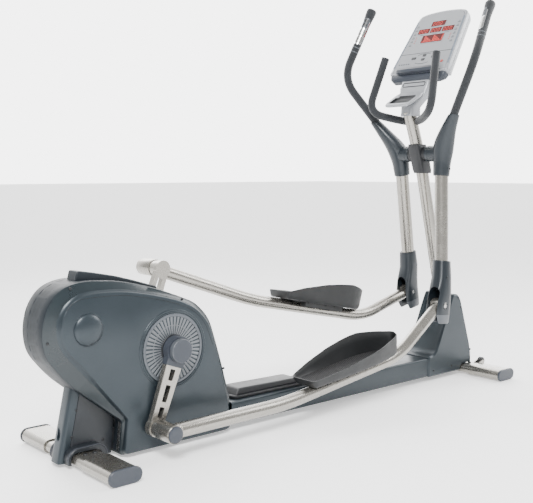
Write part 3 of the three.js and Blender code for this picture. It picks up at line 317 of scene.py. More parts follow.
def finish_of(name, base, rough, metal=0.0, mottle=(6.0, 0.10), grain=(900.0, 0.00004, 0.25),
        rough_span=0.06, coat=0.0, coat_rough=0.1, specular=0.5, scuff=0.0, scuff_color=(0.5, 0.5, 0.5),
        stretch=(1, 1, 1), cells=None, flake_glint=0.0, sheen=0.0):
    """Procedural finish: cloudy colour variation, uneven gloss, fine surface grain, optional scuffs and
    optional painted glint specks.
    """
    mat = bpy.data.materials.new(name)
    mat.use_nodes = True
    tree = mat.node_tree
    bsdf = tree.nodes["Principled BSDF"]
    link = tree.links.new
    bsdf.inputs["Metallic"].default_value = metal
    bsdf.inputs["Specular IOR Level"].default_value = specular
    bsdf.inputs["Coat Weight"].default_value = coat
    bsdf.inputs["Coat Roughness"].default_value = coat_rough
    bsdf.inputs["Sheen Weight"].default_value = sheen
    where = node(tree, "ShaderNodeTexCoord")
    mapping = node(tree, "ShaderNodeMapping", Scale=stretch)
    link(where.outputs["Object"], mapping.inputs["Vector"])

    cloud = node(tree, "ShaderNodeTexNoise", Scale=mottle[0], Detail=6.0, Roughness=0.6)
    link(mapping.outputs["Vector"], cloud.inputs["Vector"])
    ramp = tree.nodes.new("ShaderNodeValToRGB")
    dark = [c * (1 - mottle[1]) for c in base] + [1]
    light = [min(1, c * (1 + mottle[1])) for c in base] + [1]
    ramp.color_ramp.elements[0].position, ramp.color_ramp.elements[1].position = 0.3, 0.7
    ramp.color_ramp.elements[0].color, ramp.color_ramp.elements[1].color = dark, light
    link(cloud.outputs["Fac"], ramp.inputs["Fac"])
    color = ramp.outputs["Color"]

    fine = node(tree, "ShaderNodeTexNoise", Scale=grain[0], Detail=3.0, Roughness=0.65)
    link(mapping.outputs["Vector"], fine.inputs["Vector"])
    # painted glint: lighter specks in the base colour stand in for metal flakes catching the light
    if flake_glint > 0:
        glint_flakes = node(tree, "ShaderNodeTexVoronoi", Scale=2600.0)
        link(where.outputs["Object"], glint_flakes.inputs["Vector"])
        glint = remap(tree, glint_flakes.outputs["Color"], 0.55, 0.95, 0.0, flake_glint)
        color = blend_to(tree, glint, color, [min(1, c * 1.8 + 0.05) for c in base] + [1])
    if scuff > 0:
        marks = node(tree, "ShaderNodeTexNoise", Scale=38.0, Detail=9.0, Roughness=0.75)
        link(where.outputs["Object"], marks.inputs["Vector"])
        mask = remap(tree, marks.outputs["Fac"], 0.6, 0.72, 0.0, scuff)
        color = blend_to(tree, mask, color, list(scuff_color) + [1])
    link(color, bsdf.inputs["Base Color"])

    uneven = node(tree, "ShaderNodeTexNoise", Scale=mottle[0] * 3.1, Detail=8.0, Roughness=0.7)
    link(mapping.outputs["Vector"], uneven.inputs["Vector"])
    gloss = remap(tree, uneven.outputs["Fac"], 0.3, 0.7, max(0.03, rough - rough_span),
        min(1.0, rough + rough_span))
    link(gloss, bsdf.inputs["Roughness"])

    bump = node(tree, "ShaderNodeBump", Strength=grain[2], Distance=grain[1])
    height = fine.outputs["Fac"]
    if cells:
        pores = node(tree, "ShaderNodeTexVoronoi", Scale=cells[0])
        link(where.outputs["Object"], pores.inputs["Vector"])
        add = tree.nodes.new("ShaderNodeMath")
        add.operation = "MULTIPLY_ADD"
        add.inputs[1].default_value = cells[1]
        link(pores.outputs["Distance"], add.inputs[0])
        link(height, add.inputs[2])
        height = add.outputs[0]
    link(height, bump.inputs["Height"])
    link(bump.outputs["Normal"], bsdf.inputs["Normal"])
    M[name] = mat
    return mat


finish_of("housing_paint", (0.020, 0.029, 0.036), 0.36, metal=0.4, mottle=(3.5, 0.07),
    grain=(700, 0.00008, 0.22), coat=0.1, coat_rough=0.2, flake_glint=0.12)
finish_of("band_paint", (0.010, 0.014, 0.018), 0.5, mottle=(4, 0.1), grain=(900, 0.00006, 0.25),
    specular=0.25)
finish_of("rim_paint", (0.009, 0.016, 0.020), 0.30, metal=0.2, mottle=(4, 0.1), grain=(800, 0.00006, 0.2),
    coat=0.3, coat_rough=0.15)
finish_of("dark_cover", (0.012, 0.015, 0.019), 0.42, mottle=(5, 0.12), grain=(1100, 0.00008, 0.35),
    scuff=0.05)
finish_of("black_cover", (0.008, 0.009, 0.011), 0.48, mottle=(7, 0.15), grain=(1300, 0.0001, 0.45),
    cells=(700, 0.8))
finish_of("arm_cover", (0.011, 0.016, 0.021), 0.36, metal=0.2, mottle=(5, 0.08), grain=(900, 0.00006, 0.22),
    coat=0.1, coat_rough=0.16, flake_glint=0.05)
finish_of("silver_paint", (0.33, 0.315, 0.285), 0.26, metal=0.9, mottle=(8, 0.04),
    grain=(1400, 0.00005, 0.2), coat=0.2, coat_rough=0.2, flake_glint=0.15)
finish_of("silver_plastic", (0.34, 0.35, 0.37), 0.36, metal=0.3, mottle=(9, 0.05),
    grain=(1200, 0.00005, 0.25))
finish_of("console_panel", (0.26, 0.27, 0.285), 0.42, metal=0.15, mottle=(12, 0.04),
    grain=(1800, 0.00004, 0.25))
finish_of("blue_grey_plastic", (0.032, 0.038, 0.050), 0.45, mottle=(8, 0.1), grain=(1200, 0.0001, 0.4),
    scuff=0.08)
finish_of("foam_grip", (0.014, 0.016, 0.019), 0.78, mottle=(22, 0.22), grain=(1600, 0.0003, 0.8),
    cells=(900, 1.4), specular=0.3, sheen=0.25)
finish_of("pedal_plastic", (0.008, 0.009, 0.010), 0.5, mottle=(9, 0.2), grain=(900, 0.00012, 0.5),
    cells=(420, 0.7), scuff=0.12, scuff_color=(0.09, 0.09, 0.09))
finish_of("pedal_mat", (0.010, 0.010, 0.011), 0.68, mottle=(14, 0.3), grain=(1500, 0.0002, 0.6), scuff=0.25,
    scuff_color=(0.05, 0.05, 0.05))
finish_of("machined_steel", (0.42, 0.42, 0.41), 0.26, metal=1.0, mottle=(10, 0.06),
    grain=(300, 0.00004, 0.3), stretch=(1, 40, 1))
finish_of("chrome", (0.78, 0.78, 0.79), 0.10, metal=1.0, mottle=(20, 0.03), grain=(200, 0.00001, 0.1),
    rough_span=0.03)
finish_of("frame_paint", (0.016, 0.017, 0.019), 0.42, mottle=(6, 0.2), grain=(900, 0.0001, 0.4), scuff=0.1)
finish_of("belt_rubber", (0.012, 0.012, 0.012), 0.7, mottle=(20, 0.2), grain=(600, 0.0002, 0.6))
finish_of("fan_plastic", (0.13, 0.14, 0.152), 0.4, metal=0.25, mottle=(14, 0.08),
    grain=(1000, 0.00006, 0.3))
finish_of("fan_dark", (0.012, 0.014, 0.017), 0.5, mottle=(14, 0.15), grain=(1000, 0.0001, 0.4))
finish_of("key_plastic", (0.018, 0.019, 0.021), 0.4, mottle=(30, 0.15), grain=(2000, 0.00005, 0.4))
finish_of("red_print", (0.33, 0.035, 0.03), 0.4, mottle=(40, 0.15), grain=(2500, 0.00003, 0.2))
# grey print on the console face, also used as painted highlight lines on the sleeve's rim
finish_of("grey_print", (0.06, 0.066, 0.08), 0.45, mottle=(40, 0.1), grain=(2500, 0.00003, 0.2))
finish_of("blue_strip", (0.17, 0.20, 0.245), 0.35, metal=0.2, mottle=(12, 0.06), grain=(1500, 0.00005, 0.3))
finish_of("window_red", (0.075, 0.003, 0.003), 0.12, mottle=(30, 0.15), grain=(500, 0.00001, 0.1), coat=0.1,
    coat_rough=0.04, specular=0.2)
finish_of("shroud_band", (0.075, 0.083, 0.094), 0.38, metal=0.2, mottle=(10, 0.08),
    grain=(1100, 0.00006, 0.3))
finish_of("fan_rim", (0.085, 0.095, 0.108), 0.4, metal=0.25, mottle=(14, 0.08), grain=(1000, 0.00006, 0.3))
finish_of("hub_face", (0.045, 0.05, 0.06), 0.4, metal=0.2, mottle=(16, 0.08), grain=(1000, 0.00006, 0.3))
# dark seams and printed lines, and painted shade for the panel groove and the hub's tool holes
finish_of("seam_dark", (0.008, 0.009, 0.010), 0.7, mottle=(20, 0.2), grain=(900, 0.0001, 0.4))

lit = M["lit_segment"] = bpy.data.materials.new("lit_segment")
lit.use_nodes = True
_t = lit.node_tree
_b = _t.nodes["Principled BSDF"]
_b.inputs["Roughness"].default_value = 0.3
_b.inputs["Emission Strength"].default_value = 0.25
_n = node(_t, "ShaderNodeTexNoise", Scale=500.0, Detail=2.0)
_r = _t.nodes.new("ShaderNodeValToRGB")
_r.color_ramp.elements[0].color, _r.color_ramp.elements[1].color = (0.60, 0.02, 0.012, 1), (0.80, 0.05,
    0.03, 1)
_t.links.new(_n.outputs["Fac"], _r.inputs["Fac"])
_t.links.new(_r.outputs["Color"], _b.inputs["Base Color"])
_t.links.new(_r.outputs["Color"], _b.inputs["Emission Color"])


# CAD nodes that stay: soft shading away from their sharp edges, and their slot's finish
def smooth_group():
    """Welds split vertices and shades smooth except across edges sharper than the limit."""
    tree = bpy.data.node_groups.new("weld_and_shade", "GeometryNodeTree")
    tree.interface.new_socket("Geometry", in_out="INPUT", socket_type="NodeSocketGeometry")
    tree.interface.new_socket("Geometry", in_out="OUTPUT", socket_type="NodeSocketGeometry")
    start, end = tree.nodes.new("NodeGroupInput"), tree.nodes.new("NodeGroupOutput")
    weld = tree.nodes.new("GeometryNodeMergeByDistance")
    weld.inputs["Distance"].default_value = 0.00001
    faces = tree.nodes.new("GeometryNodeSetShadeSmooth")
    edges = tree.nodes.new("GeometryNodeSetShadeSmooth")
    edges.domain = "EDGE"
    angle = tree.nodes.new("GeometryNodeInputMeshEdgeAngle")
    soft = tree.nodes.new("FunctionNodeCompare")
    soft.data_type, soft.operation = "FLOAT", "LESS_THAN"
    soft.inputs[1].default_value = math.radians(38)
    link = tree.links.new
    link(start.outputs[0], weld.inputs["Geometry"])
    link(weld.outputs["Geometry"], faces.inputs["Geometry"])
    link(faces.outputs["Geometry"], edges.inputs["Geometry"])
    link(angle.outputs["Unsigned Angle"], soft.inputs[0])
    link(soft.outputs["Result"], edges.inputs["Shade Smooth"])
    link(edges.outputs["Geometry"], end.inputs[0])
    return tree


SHADE = smooth_group()
for part in frame["record"]["subparts"]:
    obj = NODES[part["node"]]
    obj.data.materials.clear()
    obj.data.materials.append(M.get(part["material_slot"], M["key_plastic"]))
    obj.modifiers.new("shade", "NODES").node_group = SHADE

for name in ("housing_center_band", "housing_spine"):
    NODES[name].data.materials[0] = M["band_paint"]

# ------------------------------------------------------------------ camera, floor and light
CAMERA = P(-1648.2, -2445.4, 927.6)
YAW, PITCH = math.radians(48.79), math.radians(5.25)
camera = bpy.data.objects.new("camera", bpy.data.cameras.new("camera"))
bpy.context.scene.collection.objects.link(camera)
camera.location = CAMERA
look = Vector((math.cos(PITCH) * math.cos(YAW), math.cos(PITCH) * math.sin(YAW), -math.sin(PITCH)))
camera.rotation_mode = "QUATERNION"
camera.rotation_quaternion = look.to_track_quat("-Z", "Y")
camera.data.sensor_width = 36
camera.data.lens = LENS_MM
camera.data.clip_end = 200
bpy.context.scene.camera = camera

floor_mesh = bmesh.new()
FLOOR = 60.0
for x, y in ((-FLOOR, -FLOOR), (FLOOR, -FLOOR), (FLOOR, FLOOR), (-FLOOR, FLOOR)):
    floor_mesh.verts.new((x, y, -0.0005))
floor_mesh.faces.new(floor_mesh.verts)
mesh = bpy.data.meshes.new("studio_floor")
floor_mesh.to_mesh(mesh)
floor_mesh.free()
floor = bpy.data.objects.new("studio_floor", mesh)
bpy.context.scene.collection.objects.link(floor)
mesh.materials.append(finish_of("floor", (0.93, 0.93, 0.93), 0.6, mottle=(0.8, 0.01),
    grain=(60, 0.0001, 0.05)))
floor_shader = mesh.materials[0].node_tree.nodes["Principled BSDF"]
floor_shader.inputs["Emission Color"].default_value = (1.0, 1.0, 1.0, 1)
floor_shader.inputs["Emission Strength"].default_value = 0.5

world = bpy.data.worlds.new("studio")
bpy.context.scene.world = world
world.use_nodes = True
world_tree = world.node_tree
backdrop = world_tree.nodes["Background"]
backdrop.inputs["Color"].default_value = (1.0, 1.0, 1.0, 1)
# a bright wall beyond the far side of the machine and a dimmer room on the near side
ray = world_tree.nodes.new("ShaderNodeTexCoord")
facing = world_tree.nodes.new("ShaderNodeVectorMath")
facing.operation = "DOT_PRODUCT"
facing.inputs[1].default_value = (0.66, 0.75, 0.0)
world_tree.links.new(ray.outputs["Generated"], facing.inputs[0])
glow = remap(world_tree, facing.outputs["Value"], 0.15, 0.8, 0.75, 5.5)
world_tree.links.new(glow, backdrop.inputs["Strength"])


def area_light(name, at, target, size, energy, color=(1, 1, 1)):
    data = bpy.data.lights.new(name, "AREA")
    data.shape, data.size, data.size_y = "RECTANGLE", size[0], size[1]
    data.energy, data.color = energy, color
    obj = bpy.data.objects.new(name, data)
    bpy.context.scene.collection.objects.link(obj)
    obj.location = at
    obj.rotation_mode = "QUATERNION"
    obj.rotation_quaternion = (Vector(target) - Vector(at)).to_track_quat("-Z", "Y")


area_light("key", (-2.6, -2.2, 3.6), (0, 0, 0.5), (1.6, 1.6), 330)
area_light("front", (3.4, -1.6, 2.8), (0.5, 0, 0.7), (2.0, 2.0), 110)
area_light("back", (0.6, 3.4, 3.2), (0, 0, 0.6), (3.0, 1.6), 90)

# ------------------------------------------------------------------ housing
HOUSING_EDGE = [(-202, 8, 16), (262, 8, 16), (262, 108, 30), (250, 158, 30), (212, 293, 60), (168, 425, 40),
    (108, 483, 30), (40, 511, 30), (-47, 544, 40), (-180, 580, 60), (-329, 592, 50), (-405, 570, 35),
    (-450, 515, 35), (-467, 440, 35), (-456, 365, 35), (-383, 275, 50), (-190, 122, 12)]
PANEL_EDGE = [(-195, 13, 20), (240, 13, 20), (240, 106, 30), (229, 152, 30), (194, 287, 60), (154, 412, 40),
    (98, 468, 30), (34, 498, 30), (-60, 525, 40), (-190, 551, 60), (-320, 553, 50), (-374, 529, 35),
    (-404, 490, 35), (-413, 440, 35), (-397, 385, 35), (-335, 318, 50), (-178, 128, 12)]


def mix_loop(a, b, t):
    return [p.lerp(q, t) for p, q in zip(a, b)]


def fill_with_hole(bm, outer, inner, index):
    """Flat face between an outer ring of vertices and a hole."""
    edges = []
    for ring in (outer, inner):
        for a, b in zip(ring, ring[1:] + ring[:1]):
            edges.append(bm.edges.get((a, b)) or bm.edges.new((a, b)))
    made = bmesh.ops.triangle_fill(bm, use_beauty=True, use_dissolve=False, edges=edges)
    for g in made["geom"]:
        if isinstance(g, bmesh.types.BMFace):
            g.material_index = index


def at_y(place, loop, y):
    return [place((p.x, y, p.y)) for p in loop]


def housing_shell(side):
    place = FIXED[side]
    edge, panel = rounded(HOUSING_EDGE), rounded(PANEL_EDGE)
    bm = bmesh.new()
    edge = inset(edge, 0.3)
    add_loft(bm, [at_y(place, inset(edge, 3.5), BAND_HALF + 0.2), at_y(place, edge, BAND_HALF + 0.2),
        at_y(place, edge, RIM_HALF - 2), at_y(place, inset(edge, 1.2), RIM_HALF + 0.4)],
        caps=(False, False), index=2)
    add_loft(bm, [at_y(place, inset(edge, 1.2), RIM_HALF + 0.4),
        at_y(place, mix_loop(edge, panel, 0.1), RIM_HALF + 1.8),
        at_y(place, mix_loop(edge, panel, 0.80), RIM_HALF + 5.6),
        at_y(place, mix_loop(edge, panel, 0.84), RIM_HALF + 6.4)], caps=(False, False), index=1)
    side_rings = [at_y(place, mix_loop(edge, panel, 0.84), RIM_HALF + 6.4),
        at_y(place, mix_loop(edge, panel, 0.93), PANEL_HALF - 11),
        at_y(place, mix_loop(edge, panel, 0.985), PANEL_HALF - 6),
        at_y(place, inset(panel, 0.6), PANEL_HALF - 3.2), at_y(place, inset(panel, 2.0), PANEL_HALF - 1.2),
        at_y(place, inset(panel, 4.2), PANEL_HALF)]
    rows = add_loft(bm, side_rings, caps=(False, False), index=0)
    hole = circle(FAN_HOLE, 72, 0, CRANK_Z)
    wall = [at_y(place, hole, PANEL_HALF), at_y(place, hole, PANEL_HALF - 7),
        at_y(place, circle(FAN_HOLE + 2, 72, 0, CRANK_Z), PANEL_HALF - 7)]
    hole_rows = add_loft(bm, wall, caps=(False, False), index=0)
    fill_with_hole(bm, rows[-1], hole_rows[0], 0)
    shell = finish_mesh(f"{side}_housing_skin", bm, ("housing_paint", "rim_paint", "band_paint"), "frame",
        replaced=[f"{side}_housing_shell"])
    sy = SIDES[side]
    out = Vector((0, sy, 0))
    bm = bmesh.new()
    y = PANEL_HALF
    add_lathe(bm, place((0, y, CRANK_Z)), out, [(121.8, -4), (121.8, 1.2), (123, 2.3), (125, 2.5),
        (126.5, 1.5), (127.2, 0.9), (128.2, 1.6), (129.6, 2.3), (132, 2.1), (133.5, 1.0), (134, -0.4)], 96)
    finish_mesh(f"{side}_fan_lip", bm, "housing_paint", "frame", smooth=math.radians(60))
    # bearing dome: a shallow crown inside a fine outline ring
    bm = bmesh.new()
    crown = [(54, -0.6), (53.4, 0.1), (52.0, 0.3), (51.4, -0.2), (50.6, 0.4)]
    crown += [(50.4 * math.cos(a), 0.6 + 16.5 * math.sin(a)) for a in [
        math.radians(v) for v in (4, 9, 15, 22, 30, 38, 46, 54, 62, 70, 78, 85, 89.5)]]
    add_lathe(bm, place((FLYWHEEL_X, y, FLYWHEEL_Z)), out, crown, 72)
    finish_mesh(f"{side}_bearing_dome", bm, "housing_paint", "frame", smooth=math.radians(60))
    # groove below the top edge of the panel, drawn as a thin dark line of painted shade
    bm = bmesh.new()
    top = [Vector((-392, y + 0.1, 505)), Vector((-372, y + 0.1, 528)), Vector((-330, y + 0.1, 540)),
        Vector((-190, y + 0.1, 538)), Vector((-62, y + 0.1, 512)), Vector((32, y + 0.1, 485)),
        Vector((90, y + 0.1, 457)), Vector((136, y + 0.1, 412)), Vector((168, y + 0.1, 330))]
    add_tube(bm, place, smooth_line(top, 40, 6), 0.55, 8)
    finish_mesh(f"{side}_panel_groove_shade", bm, "seam_dark", "frame")


for side in SIDES:
    housing_shell(side)


# ------------------------------------------------------------------ screws
def screw(name, at, axis, radius, body, material="black_cover", height=2.4):
    """Button head with a hexagon socket."""
    d, u, v = frame_of(Vector(axis))
    bm = bmesh.new()
    n = 36
    ring = lambda r, h: [at + d * (h * MM) + (u * math.cos(2 * math.pi * k / n) + v * math.sin(
        2 * math.pi * k / n)) * (r * MM) for k in range(n)]
    hexa = lambda r, h: [at + d * (h * MM) + (u * math.cos(2 * math.pi * k / n) + v * math.sin(
        2 * math.pi * k / n)) * (r * MM / math.cos((2 * math.pi * k / n) % (
        math.pi / 3) - math.pi / 6)) for k in range(n)]
    profile = [ring(radius, -1.0), ring(radius, 0.25 * height), ring(radius * 0.93, 0.6 * height),
        ring(radius * 0.78, 0.88 * height), ring(radius * 0.6, height), hexa(radius * 0.38, height),
        hexa(radius * 0.36, 0.25 * height)]
    add_loft(bm, profile)
    return finish_mesh(name, bm, material, body)


def side_screws(stem, spots, y, radius, body="frame", place=FIXED, material="black_cover", height=2.4):
    for side, sy in SIDES.items():
        name = f"{side}_{body}" if body in ("arm", "link") else body
        for i, (x, z) in enumerate(spots):
            screw(f"{side}_{stem}_{i}", place[side]((x, y, z)), (0, sy, 0), radius, name, material, height)


side_screws("rim_screw", [(-368, 572), (-447, 410), (52, 499), (229, 234)], RIM_HALF + 4.2, 4.6)
side_screws("tower_screw", [(1583, 358), (1603, 312), (1680, 107), (1542, 50), (1412, 45)], 82,
    SCREW_RADIUS)
side_screws("rear_panel_screw", [(-334, 176), (-352, 92), (-240, 62)], TOWER_HALF, SCREW_RADIUS)

# ------------------------------------------------------------------ fan ribs and hub trim, on the crank
RIBS = 46
RIB_INNER, RIB_OUTER, RIB_SHARE = 44, 109.5, 0.62
for side, sy in SIDES.items():
    place = CRANK[side]
    bm = bmesh.new()
    for k in range(RIBS):
        a = 2 * math.pi * k / RIBS
        c, s = math.cos(a), math.sin(a)

        def rib(v, c=c, s=s):
            return place((v[0] * c - v[1] * s, v[2], v[0] * s + v[1] * c))
        ends = []
        for r in (RIB_INNER, RIB_OUTER):
            h = math.pi * r / RIBS * RIB_SHARE
            ends.append([rib((r, b, n)) for b, n in ((-h, 84.5), (h, 84.5), (h, 88.9), (h * 0.7, 89.6),
                (-h * 0.7, 89.6), (-h, 88.9))])
        add_loft(bm, ends)
    add_lathe(bm, place((0, 0, 0)), Vector((0, sy, 0)), [(78, 84), (78, 89.2), (80.4, 89.2), (80.4, 84)],
        72)
    finish_mesh(f"{side}_fan_ribs", bm, "fan_plastic", "crank")
    NODES[f"{side}_crank_disc"].data.materials[0] = M["fan_dark"]
    bm = bmesh.new()
    add_lathe(bm, place((0, 0, 0)), Vector((0, sy, 0)),
        [(109.3, 84), (109.3, 90.3), (110.3, 90.9), (117.6, 90.9), (118.8, 90.2), (119, 84)], 96)
    finish_mesh(f"{side}_fan_rim", bm, "fan_rim", "crank")
    # hub cap: bright rim, dished face and two tool holes, drawn as dark discs of painted shade
    bm = bmesh.new()
    add_lathe(bm, place((0, 0, 0)), Vector((0, sy, 0)),
        [(40.2, 128), (40.2, 140.5), (39.4, 142.6), (37.8, 143.7), (35.4, 143.9), (34.2, 143.2)], 72)
    finish_mesh(f"{side}_hub_rim", bm, "shroud_band", "crank")
    bm = bmesh.new()
    add_lathe(bm, place((0, 0, 0)), Vector((0, sy, 0)),
        [(33.8, 143.0), (33.2, 143.6), (22, 143.9), (0.1, 143.9)], 56)
    finish_mesh(f"{side}_hub_face", bm, "hub_face", "crank")
    NODES[f"{side}_crank_hub"].data.materials[0] = M["blue_grey_plastic"]
    for i, x in enumerate((-17, 17)):
        bm = bmesh.new()
        add_lathe(bm, place((x, 0, 4)), Vector((0, sy, 0)),
            [(5.6, 143.2), (5.6, 143.98), (5.0, 144.0), (0.1, 143.95)], 28)
        finish_mesh(f"{side}_hub_hole_shade_{i}", bm, "seam_dark", "crank")

# ------------------------------------------------------------------ foot links
for side, sy in SIDES.items():
    place, body = LINK[side], f"{side}_link"
    line = smooth_line([(4, LINK_Y_REAR, 0), (LINK_BENDS[0][0], LINK_Y_REAR - 12, LINK_BENDS[0][1]),
        (LINK_BENDS[1][0], LINK_Y_FRONT + 4, LINK_BENDS[1][1]), (LINK_LENGTH - 4, LINK_Y_FRONT, 0)], 88, 14)
    bm = bmesh.new()
    add_tube(bm, place, line, LINK_SKIN, 36)
    add_lathe(bm, place((0, 0, 0)), Vector((0, sy, 0)),
        [(29, 148), (30.4, 148.6), (31, 150), (31, 226), (30.4, 229), (29.4, 230), (28.2, 229.6),
        (27.9, 226)], 56)
    add_lathe(bm, place((LINK_LENGTH, 0, 0)), Vector((0, sy, 0)),
        [(9.4, LINK_Y_FRONT - 24), (28.6, LINK_Y_FRONT - 24), (29.9, LINK_Y_FRONT - 22.6),
        (29.9, LINK_Y_FRONT + 22.6), (28.6, LINK_Y_FRONT + 24), (9.4, LINK_Y_FRONT + 24)], 48)
    finish_mesh(f"{side}_link_skin", bm, "silver_paint", body, replaced=[f"{side}_link_tube"])
    bm = bmesh.new()
    add_lathe(bm, place((0, 0, 0)), Vector((0, sy, 0)),
        [(27.4, 226), (27.4, 231.2), (26.6, 232.8), (24.4, 233.8), (12, 234.0), (6, 233.6), (0.1, 233.5)],
        56)
    finish_mesh(f"{side}_link_end_cap", bm, "blue_grey_plastic", body, replaced=[f"{side}_link_cap"])
    # weld beads where the tube meets the rear eye
    bm = bmesh.new()
    add_lathe(bm, place((33, LINK_Y_REAR - 0.7, -6.2)),
        place((60, LINK_Y_REAR - 1.4, -11)) - place((33, LINK_Y_REAR - 0.7, -6.2)),
        [(24.8, -4), (26.3, -2.6), (26.9, 0), (26.2, 2.6), (24.8, 4)], 44)
    finish_mesh(f"{side}_link_weld", bm, "silver_paint", body, smooth=math.radians(60))

# ------------------------------------------------------------------ pedals
HEEL, TOE, INNER, OUTER = 622, 1138, 87, 240
TOE_RISE_FROM, TOE_CURL = 1074, 0.0075
PLAN = [(HEEL, INNER + 12, 22), (HEEL + 150, INNER + 3, 60), (HEEL + 350, INNER, 70),
    (HEEL + 440, INNER + 26, 45), (TOE, INNER + 76, 36), (TOE - 20, OUTER - 26, 30),
    (HEEL + 360, OUTER, 70), (HEEL + 150, OUTER - 2, 60), (HEEL, OUTER - 12, 22)]
SLOPE = (LINK_BENDS[1][1] - LINK_BENDS[0][1]) / (LINK_BENDS[1][0] - LINK_BENDS[0][0])
INNER_WALL = ((0, 30), (0.15, 56), (0.44, 89), (0.73, 106), (0.9, 102), (1, 94))
OUTER_WALL = ((0, 30), (0.3, 36), (0.75, 62), (0.95, 76), (1, 84))
PEDAL_FLOOR = 15


def pedal_base(x):
    return LINK_BENDS[0][1] + (x - LINK_BENDS[0][0]) * SLOPE + 25.8


def between(table, x):
    if x <= table[0][0]:
        return table[0][1]
    for (x0, h0), (x1, h1) in zip(table, table[1:]):
        if x <= x1:
            return h0 + (h1 - h0) * (x - x0) / (x1 - x0)
    return table[-1][1]


def rim_height(p):
    along = (p.x - HEEL) / (TOE - HEEL)
    across = min(1, max(0, (p.y - INNER) / (OUTER - INNER)))
    return between(INNER_WALL, along) * (1 - across) + between(OUTER_WALL, along) * across


def inside(loop, x, y):
    hit = False
    for a, b in zip(loop, loop[1:] + loop[:1]):
        if (a.y > y) != (b.y > y) and x < (b.x - a.x) * (y - a.y) / (b.y - a.y) + a.x:
            hit = not hit
    return hit


for side, sy in SIDES.items():
    place, body = LINK[side], f"{side}_link"
    plan = rounded(PLAN, 8)

    def level(d, share, extra=0.0):
        """share of the rim height at each point, plus extra"""
        return [Vector((q.x, q.y, pedal_base(q.x) + rim_height(p) * share + extra)) for p,
            q in zip(plan, inset(plan, d))]
    bm = bmesh.new()
    add_loft(bm, [level(14, 0, 0.2), level(11, 0, 1.2), level(6.2, 0, 7), level(4.4, 0.3, 5.2),
        level(2.2, 0.62, 2.5), level(0.6, 0.93), level(0.3, 0.97, 0.4), level(1.4, 1, -0.2), level(3, 1, 0),
        level(4.6, 1, -0.3), level(5.8, 0.97, 0), level(8.5, 0.62, 4), level(12.4, 0.22, 9),
        level(16, 0, PEDAL_FLOOR)])
    # the toe's floor curls up clear of the link's bend
    for k in range(8):
        bmesh.ops.bisect_plane(bm, geom=bm.verts[:] + bm.edges[:] + bm.faces[:], dist=0.001,
            plane_co=(TOE_RISE_FROM + 8 * k, 0, 0), plane_no=(1, 0, 0))
    for v in bm.verts:
        ahead = max(0, v.co.x - TOE_RISE_FROM)
        high = max(0, v.co.z - pedal_base(v.co.x) - PEDAL_FLOOR)
        v.co.z += TOE_CURL * ahead ** 2 * max(0, 1 - high / 55)
        v.co = place(v.co)
    for x0, x1 in ((HEEL + 110, HEEL + 330),):
        ends = []
        for x in (x0, x1):
            z0, z1 = pedal_base(x) - 19.8, pedal_base(x) + 5
            ends.append([place((x, y, z)) for y, z in ((INNER + 19, z0), (LINK_Y_FRONT - 31.2, z0),
                (LINK_Y_FRONT - 31.2, z1), (INNER + 19, z1))])
        add_loft(bm, ends)
    # ribs below the tray
    for k in range(6):
        x = HEEL + 70 + k * 52
        add_box(bm, lambda v: place((v[0], v[1], v[2] + pedal_base(v[0]))), x, x + 3, INNER + 16,
            OUTER - 18, -5.5, 3)
    finish_mesh(f"{side}_pedal_tray", bm, "pedal_plastic", body, smooth=math.radians(40),
        replaced=[f"{side}_pedal"])
    # studs on the mat
    edge = inset(plan, 24)
    bm = bmesh.new()
    pitch = 9.2
    top = PEDAL_FLOOR + 4.3
    for i in range(48):
        for j in range(18):
            x = HEEL + 20 + i * pitch
            y = INNER + 10 + (j + 0.5 * (i % 2)) * pitch
            if x > TOE_RISE_FROM - 8 or not inside(edge, x, y):
                continue
            z = pedal_base(x) + top
            rings = [[place((x + r * math.cos(k * math.pi / 4), y + r * math.sin(k * math.pi / 4),
                z + h)) for k in range(8)] for r, h in ((2.9, -0.6), (2.6, 0.5), (1.6, 1.1))]
            add_loft(bm, rings, caps=(False, True))
    finish_mesh(f"{side}_mat_studs", bm, "pedal_mat", body, smooth=math.radians(60))

